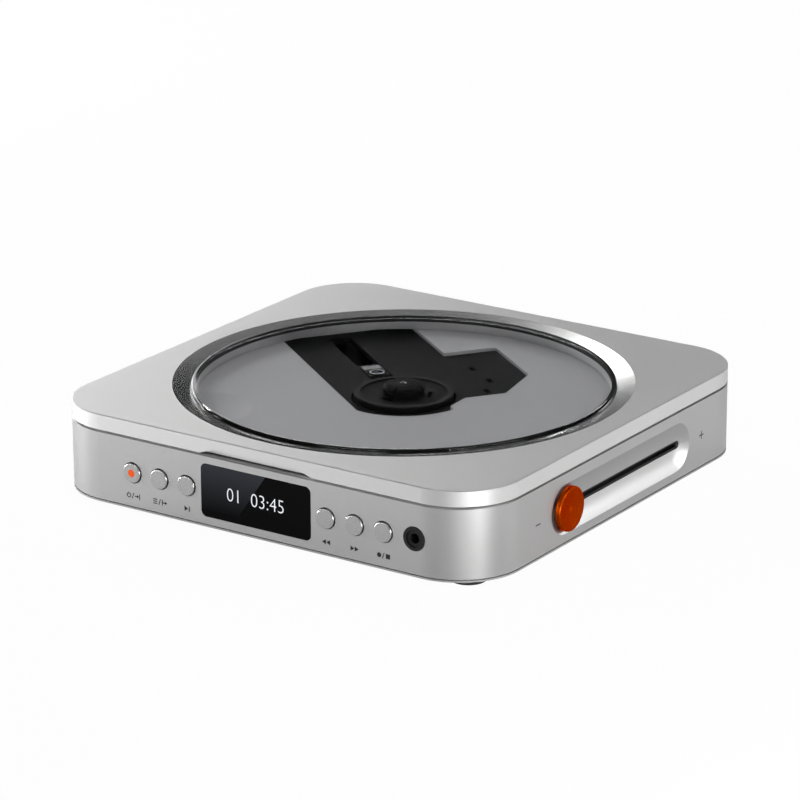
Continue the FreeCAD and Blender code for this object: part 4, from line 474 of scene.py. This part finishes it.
nodeFinishes = {
    "blastedAluminium": ["base_shell"],
    "lidAluminium": ["lid_frame"],
    "keyAluminium": ["button_power", "button_source", "button_play", "button_previous", "button_next",
                     "button_stop"],
    "deckPaint": ["disc_deck"],
    "baseTray": ["bottom_plate"],
    "socketBlack": ["headphone_jack", "jack_collar", "slot_liner"],
    "mouldedBlack": ["lid_liner", "key_switches", "display_module", "rear_panel", "board_parts", "drive_posts", "pickup_sled", "lens_carrier"],
    "driveBlack": ["drive_chassis", "turntable", "turntable_hub"],
    "softRubber": ["feet", "window_gasket", "lid_bumpers", "drive_dampers", "disc_pad"],
    "orangeAnodised": ["volume_knob"],
    "orangeLens": ["power_dot"],
    "displayGlass": ["display_window"],
    "boardGreen": ["front_board", "main_board"],
    "naturalNylon": ["phono_cores", "sled_gear", "sled_rack"],
    "magnetNickel": ["base_magnets", "lid_magnets"],
    "brushedSteel": ["base_hinge_leaves", "lid_hinge_leaves", "fader_lever", "slide_pot", "usb_socket"],
    "turnedSteel": ["hinge_pins", "guide_rods", "spindle_shaft", "spindle_motor", "gear_axle", "sled_motor"],
    "darkScrew": ["bottom_screws", "deck_screws", "base_hinge_screws", "lid_hinge_screws", "lid_screws"],
    "goldPlate": ["phono_shells", "board_standoffs", "motor_pinion"],
    "smokedAcrylic": ["lid_window"],
    "coatedLens": ["objective_lens"],
}
for finishName, names in nodeFinishes.items():
    for name in names:
        slots = cadNodes[name].data.materials
        if len(slots) == 0:
            slots.append(finishes[finishName])
        for i in range(len(slots)):
            slots[i] = finishes[finishName]
print("finishes ready")


# ---- pieces that only the looks need ----
def newPiece(name, mesh, finish, body):
    piece = bpy.data.objects.new(name, mesh)
    scene.collection.objects.link(piece)
    if len(mesh.materials) == 0:
        mesh.materials.append(finishes[finish])
    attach(piece, body)
    return piece


def meshFrom(name, builder):
    mesh = bpy.data.meshes.new(name)
    bmesh.ops.recalc_face_normals(builder, faces=builder.faces)
    builder.to_mesh(mesh)
    builder.free()
    return mesh


def onFront(u, v, out):
    return (u * mm, -caseInfo["halfDepth"] - out * mm, v * mm)


def onSide(u, v, out):
    return (caseInfo["halfWidth"] + out * mm, u * mm, v * mm)


# Printed marks: outlines in millimetres, each a thin raised plate of ink
inkInfo = {"raise": 0.03, "sink": 0.01, "line": 0.34, "half": 1.05, "markZ": 6.9,
           "arm": 1.45, "armLine": 0.42, "sideZ": 14.6}


def bar(left, right, low, high):
    return [(left, low), (right, low), (right, high), (left, high)]


def disc(x, radius, count=28):
    turns = [2 * math.pi * i / count for i in range(count)]
    return [(x + radius * math.cos(t), radius * math.sin(t)) for t in turns]


def openRing(x, radius, line, gap, count=30):
    # An arc band with its gap at the top.
    start, run = math.radians(90 + gap / 2), math.radians(360 - gap)
    turns = [start + run * i / count for i in range(count + 1)]
    outer = [(x + radius * math.cos(t), radius * math.sin(t)) for t in turns]
    inner = [(x + (radius - line) * math.cos(t), (radius - line) * math.sin(t)) for t in reversed(turns)]
    return outer + inner


def slash(x, half, line):
    lean = half * 0.35
    return [(x - lean - line / 2, -half), (x - lean + line / 2, -half), (x + lean + line / 2, half),
            (x + lean - line / 2, half)]


def triangle(x, width, half, point=1):
    # Point 1 aims right, -1 aims left.
    return [(x - point * width / 2, -half), (x + point * width / 2, 0), (x - point * width / 2, half)]


def arrow(x, length, line, head):
    tip = x + length / 2
    return [bar(x - length / 2, tip - head * 0.8, -line / 2, line / 2), triangle(tip - head / 2, head, head * 0.6)]


def printMark(name, outlines, plane, u, v, finish="greyInk"):
    builder = bmesh.new()
    for outline in outlines:
        rings = []
        for out in (-inkInfo["sink"], inkInfo["raise"]):
            rings.append([builder.verts.new(plane(u + x, v + y, out)) for x, y in outline])
        count = len(outline)
        builder.faces.new(rings[1])
        builder.faces.new(list(reversed(rings[0])))
        for i in range(count):
            j = (i + 1) % count
            builder.faces.new((rings[0][i], rings[0][j], rings[1][j], rings[1][i]))
    return newPiece(name, meshFrom(name, builder), finish, "case")


def addMarks(info):
    line, half, z = info["line"], info["half"], info["markZ"]
    marks = {
        "powerMark": (-52.0, [openRing(-1.9, half * 0.9, line, 70), bar(-1.9 - line / 2, -1.9 + line / 2, 0.2, 1.15),
                              slash(-0.1, half, line), bar(2.9 - line, 2.9, -half, half)] + arrow(1.6, 1.9, line, 0.95)),
        "sourceMark": (-40.45, [bar(-2.9, -1.2, y - line / 2, y + line / 2) for y in (-0.75, 0.0, 0.75)]
                       + [slash(-0.2, half, line), bar(0.8, 0.8 + line, -half, half)] + arrow(2.1, 1.9, line, 0.95)),
        "playMark": (-28.9, [triangle(-0.35, 1.5, 0.95), bar(0.75, 0.75 + line, -0.95, 0.95)]),
        "previousMark": (28.9, [triangle(-0.85, 1.6, 0.9, -1), triangle(0.85, 1.6, 0.9, -1)]),
        "nextMark": (40.45, [triangle(-0.85, 1.6, 0.9), triangle(0.85, 1.6, 0.9)]),
        "stopMark": (52.0, [disc(-1.7, 0.85), slash(-0.05, half, line), bar(0.95, 2.65, -0.85, 0.85)]),
    }
    for name, (x, outlines) in marks.items():
        printMark(name, outlines, onFront, x, z)
    arm, half, sideZ = info["arm"], info["armLine"] / 2, info["sideZ"]
    flat = bar(-arm, arm, -half, half)
    printMark("louderMark", [flat, bar(-half, half, half, arm), bar(-half, half, -arm, -half)], onSide, 54.0, sideZ)
    printMark("softerMark", [flat], onSide, -54.0, sideZ)


addMarks(inkInfo)

# Digits behind the display's glass face
digitInfo = {"text": "01  03:45", "size": 7.0, "thin": -0.10, "wide": 0.92, "z": 15.3, "raise": 0.02}


def addDigits(info):
    curve = bpy.data.curves.new("displayDigits", "FONT")
    curve.body = info["text"]
    curve.size = info["size"] * mm
    curve.offset = info["thin"] * mm
    curve.extrude = info["raise"] * mm
    curve.resolution_u = 4
    curve.align_x = "CENTER"
    curve.align_y = "CENTER"
    source = bpy.data.objects.new("digitSource", curve)
    scene.collection.objects.link(source)
    mesh = bpy.data.meshes.new_from_object(source.evaluated_get(bpy.context.evaluated_depsgraph_get()))
    bpy.data.objects.remove(source)
    for vertex in mesh.vertices:
        x, y, z = vertex.co
        vertex.co = (x * info["wide"], -caseInfo["halfDepth"] - z, y + info["z"] * mm)
    mesh.name = "displayDigits"
    mesh.materials.clear()
    return newPiece("displayDigits", mesh, "whiteInk", "case")


addDigits(digitInfo)
print("marks and digits ready")

# The window: one turned clear disc with a rounded upper edge
windowInfo = {"radius": 74.9, "step": 73.4, "low": 31.7, "ledge": 32.4, "top": 33.9, "round": 0.95, "flat": 73.8,
              "turns": 200}


def turnedMesh(name, profile, turns, sharp=35):
    # A closed turned solid. The profile starts and ends on the axis.
    builder = bmesh.new()
    rings = []
    for radius, z in profile:
        if radius == 0:
            rings.append([builder.verts.new((0, 0, z * mm))])
            continue
        angles = [2 * math.pi * i / turns for i in range(turns)]
        rings.append([builder.verts.new((radius * math.cos(a) * mm, radius * math.sin(a) * mm, z * mm)) for a in angles])
    for lower, upper in zip(rings, rings[1:]):
        for i in range(turns):
            j = (i + 1) % turns
            if len(lower) == 1:
                builder.faces.new((lower[0], upper[j], upper[i]))
            elif len(upper) == 1:
                builder.faces.new((lower[i], lower[j], upper[0]))
            else:
                builder.faces.new((lower[i], lower[j], upper[j], upper[i]))
    mesh = meshFrom(name, builder)
    mesh.shade_smooth()
    mesh.set_sharp_from_angle(angle=math.radians(sharp))
    return mesh


def addWindow(info):
    bend, steps = info["round"], 8
    turns = [math.pi / 2 * i / steps for i in range(steps + 1)]
    edge = [(info["radius"] - bend + bend * math.cos(t), info["top"] - bend + bend * math.sin(t)) for t in turns]
    profile = [(0, info["low"]), (info["step"], info["low"]), (info["step"], info["ledge"]),
               (info["radius"], info["ledge"])] + edge + [(info["flat"], info["top"]), (0, info["top"])]
    window = newPiece("windowGlass", turnedMesh("windowGlass", profile, info["turns"]), "smokedAcrylic", "lid")
    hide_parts("lid_window")


addWindow(windowInfo)

# Painted shade of the cross recesses in the screw heads: thin dark crosses, placed by one node tree
recessShadeInfo = {"case": [("bottomRecessShades", [(x, y, 2.0) for x in (-66, 66) for y in (-66, 66)], 2.6, 0.5),
                       ("deckRecessShades", [(x, y, 27.0) for x in (-66, 66) for y in (-66, 66)], 2.6, 0.5),
                       ("hingeRecessShades", [(s * (50 + o), 79.5, 28.0) for s in (-1, 1) for o in (-7, 7)], 1.9, 0.36)],
              "lid": [("lidRecessShades", [(x, y, 29.2) for x in (-70, 70) for y in (-70, 70)], 1.9, 0.36),
                      ("lidHingeRecessShades", [(s * (50 + o), 79.5, 28.2) for s in (-1, 1) for o in (-7, 7)], 1.9, 0.36)],
              "depth": 0.06, "seed": 4}


def makeRecessShadeTree():
    # Two crossed dark bars on every point, the painted shade of a cross recess, each turned by its own seeded angle.
    tree = bpy.data.node_groups.new("crossRecessShade", "GeometryNodeTree")
    sockets = tree.interface
    sockets.new_socket("Geometry", in_out="INPUT", socket_type="NodeSocketGeometry")
    for label in ("Length", "Width", "Depth"):
        sockets.new_socket(label, in_out="INPUT", socket_type="NodeSocketFloat")
    sockets.new_socket("Seed", in_out="INPUT", socket_type="NodeSocketInt")
    sockets.new_socket("Finish", in_out="INPUT", socket_type="NodeSocketMaterial")
    sockets.new_socket("Geometry", in_out="OUTPUT", socket_type="NodeSocketGeometry")
    given, result = tree.nodes.new("NodeGroupInput"), tree.nodes.new("NodeGroupOutput")
    join = tree.nodes.new("GeometryNodeJoinGeometry")
    for order in (("Length", "Width", "Depth"), ("Width", "Length", "Depth")):
        size = tree.nodes.new("ShaderNodeCombineXYZ")
        for i, label in enumerate(order):
            tree.links.new(given.outputs[label], size.inputs[i])
        cross = tree.nodes.new("GeometryNodeMeshCube")
        tree.links.new(size.outputs[0], cross.inputs["Size"])
        tree.links.new(cross.outputs["Mesh"], join.inputs[0])
    angle = tree.nodes.new("FunctionNodeRandomValue")
    angle.inputs[3].default_value = math.pi / 2
    tree.links.new(given.outputs["Seed"], angle.inputs["Seed"])
    turn = tree.nodes.new("ShaderNodeCombineXYZ")
    tree.links.new(angle.outputs[1], turn.inputs[2])
    place = tree.nodes.new("GeometryNodeInstanceOnPoints")
    tree.links.new(given.outputs["Geometry"], place.inputs["Points"])
    tree.links.new(join.outputs[0], place.inputs["Instance"])
    tree.links.new(turn.outputs[0], place.inputs["Rotation"])
    realize = tree.nodes.new("GeometryNodeRealizeInstances")
    finish = tree.nodes.new("GeometryNodeSetMaterial")
    tree.links.new(place.outputs[0], realize.inputs[0])
    tree.links.new(realize.outputs[0], finish.inputs["Geometry"])
    tree.links.new(given.outputs["Finish"], finish.inputs["Material"])
    tree.links.new(finish.outputs[0], result.inputs[0])
    return tree


def grown(name, tree, points, values):
    # Runs a node tree on loose points and returns the plain mesh that it makes.
    seedMesh = bpy.data.meshes.new(name + "Points")
    seedMesh.from_pydata([tuple(c * mm for c in point) for point in points], [], [])
    source = bpy.data.objects.new(name + "Source", seedMesh)
    scene.collection.objects.link(source)
    modifier = source.modifiers.new("grow", "NODES")
    modifier.node_group = tree
    for item in tree.interface.items_tree:
        if item.in_out == "INPUT" and item.name in values:
            modifier[item.identifier] = values[item.name]
    mesh = bpy.data.meshes.new_from_object(source.evaluated_get(bpy.context.evaluated_depsgraph_get()))
    source.modifiers.remove(modifier)
    bpy.data.objects.remove(source)
    mesh.name = name
    return mesh


def addRecessShades(info):
    tree = makeRecessShadeTree()
    for body in ("case", "lid"):
        for name, points, length, width in info[body]:
            values = {"Length": length * mm, "Width": width * mm, "Depth": info["depth"] * mm, "Seed": info["seed"],
                      "Finish": finishes["deepBlack"]}
            newPiece(name, grown(name, tree, points, values), "deepBlack", body)


addRecessShades(recessShadeInfo)
print("window and screws ready")

# Drive details: flat dark plates painted as the shade in the claw slots beside the hub, the lens rim and the pickup's
# cover strip
driveInfo = {"platformZ": 27.1, "slotRaise": 0.05, "slotTurn": math.radians(34.1), "lens": (0.0, 28.5), "lensZ": 26.0, "coverZ": 25.7}


def driveSpot(x, y):
    a = caseInfo["driveTurn"]
    return x * math.cos(a) - y * math.sin(a), x * math.sin(a) + y * math.cos(a)


def plate(builder, corners, low, high):
    # A low block over four corners given in millimetres.
    rings = [[builder.verts.new((x * mm, y * mm, z * mm)) for x, y in corners] for z in (low, high)]
    builder.faces.new(rings[1])
    builder.faces.new(list(reversed(rings[0])))
    for i in range(len(corners)):
        j = (i + 1) % len(corners)
        builder.faces.new((rings[0][i], rings[0][j], rings[1][j], rings[1][i]))


def addDriveDetails(info):
    builder = bmesh.new()
    level = info["platformZ"]
    across = (math.cos(info["slotTurn"]), math.sin(info["slotTurn"]))
    away = (-across[1], across[0])
    # Each T-shaped pair of plates is the painted shade of one claw slot.
    for side in (-1, 1):
        for left, right, near, far in ((7.5, 8.6, -3.6, 6.2), (6.6, 10.6, 6.2, 7.6)):
            spots = [(u * across[0] * side + v * away[0], u * across[1] * side + v * away[1])
                     for u, v in ((left, near), (right, near), (right, far), (left, far))]
            plate(builder, spots, level - info["slotRaise"], level + info["slotRaise"])
    newPiece("clawSlotShades", meshFrom("clawSlotShades", builder), "deepBlack", "disc_drive")
    builder = bmesh.new()
    x, y = driveSpot(*info["lens"])
    count = 40
    outer, inner, low, high = 2.75, 2.15, info["lensZ"] - 0.05, info["lensZ"] + 0.06
    loops = [[builder.verts.new(((x + r * math.cos(2 * math.pi * i / count)) * mm,
                                 (y + r * math.sin(2 * math.pi * i / count)) * mm, z * mm)) for i in range(count)]
             for r, z in ((outer, low), (outer, high), (inner, high), (inner, low))]
    for k in range(4):
        here, there = loops[k], loops[(k + 1) % 4]
        for i in range(count):
            j = (i + 1) % count
            builder.faces.new((here[i], here[j], there[j], there[i]))
    newPiece("lensRim", meshFrom("lensRim", builder), "brushedSteel", "lens")
    builder = bmesh.new()
    corners = [driveSpot(*spot) for spot in ((-3.3, 33.0), (3.3, 33.0), (3.3, 36.6), (-3.3, 36.6))]
    plate(builder, corners, info["coverZ"] - 0.05, info["coverZ"] + 0.08)
    newPiece("pickupCover", meshFrom("pickupCover", builder), "brushedSteel", "pickup")


addDriveDetails(driveInfo)
print("drive details ready")
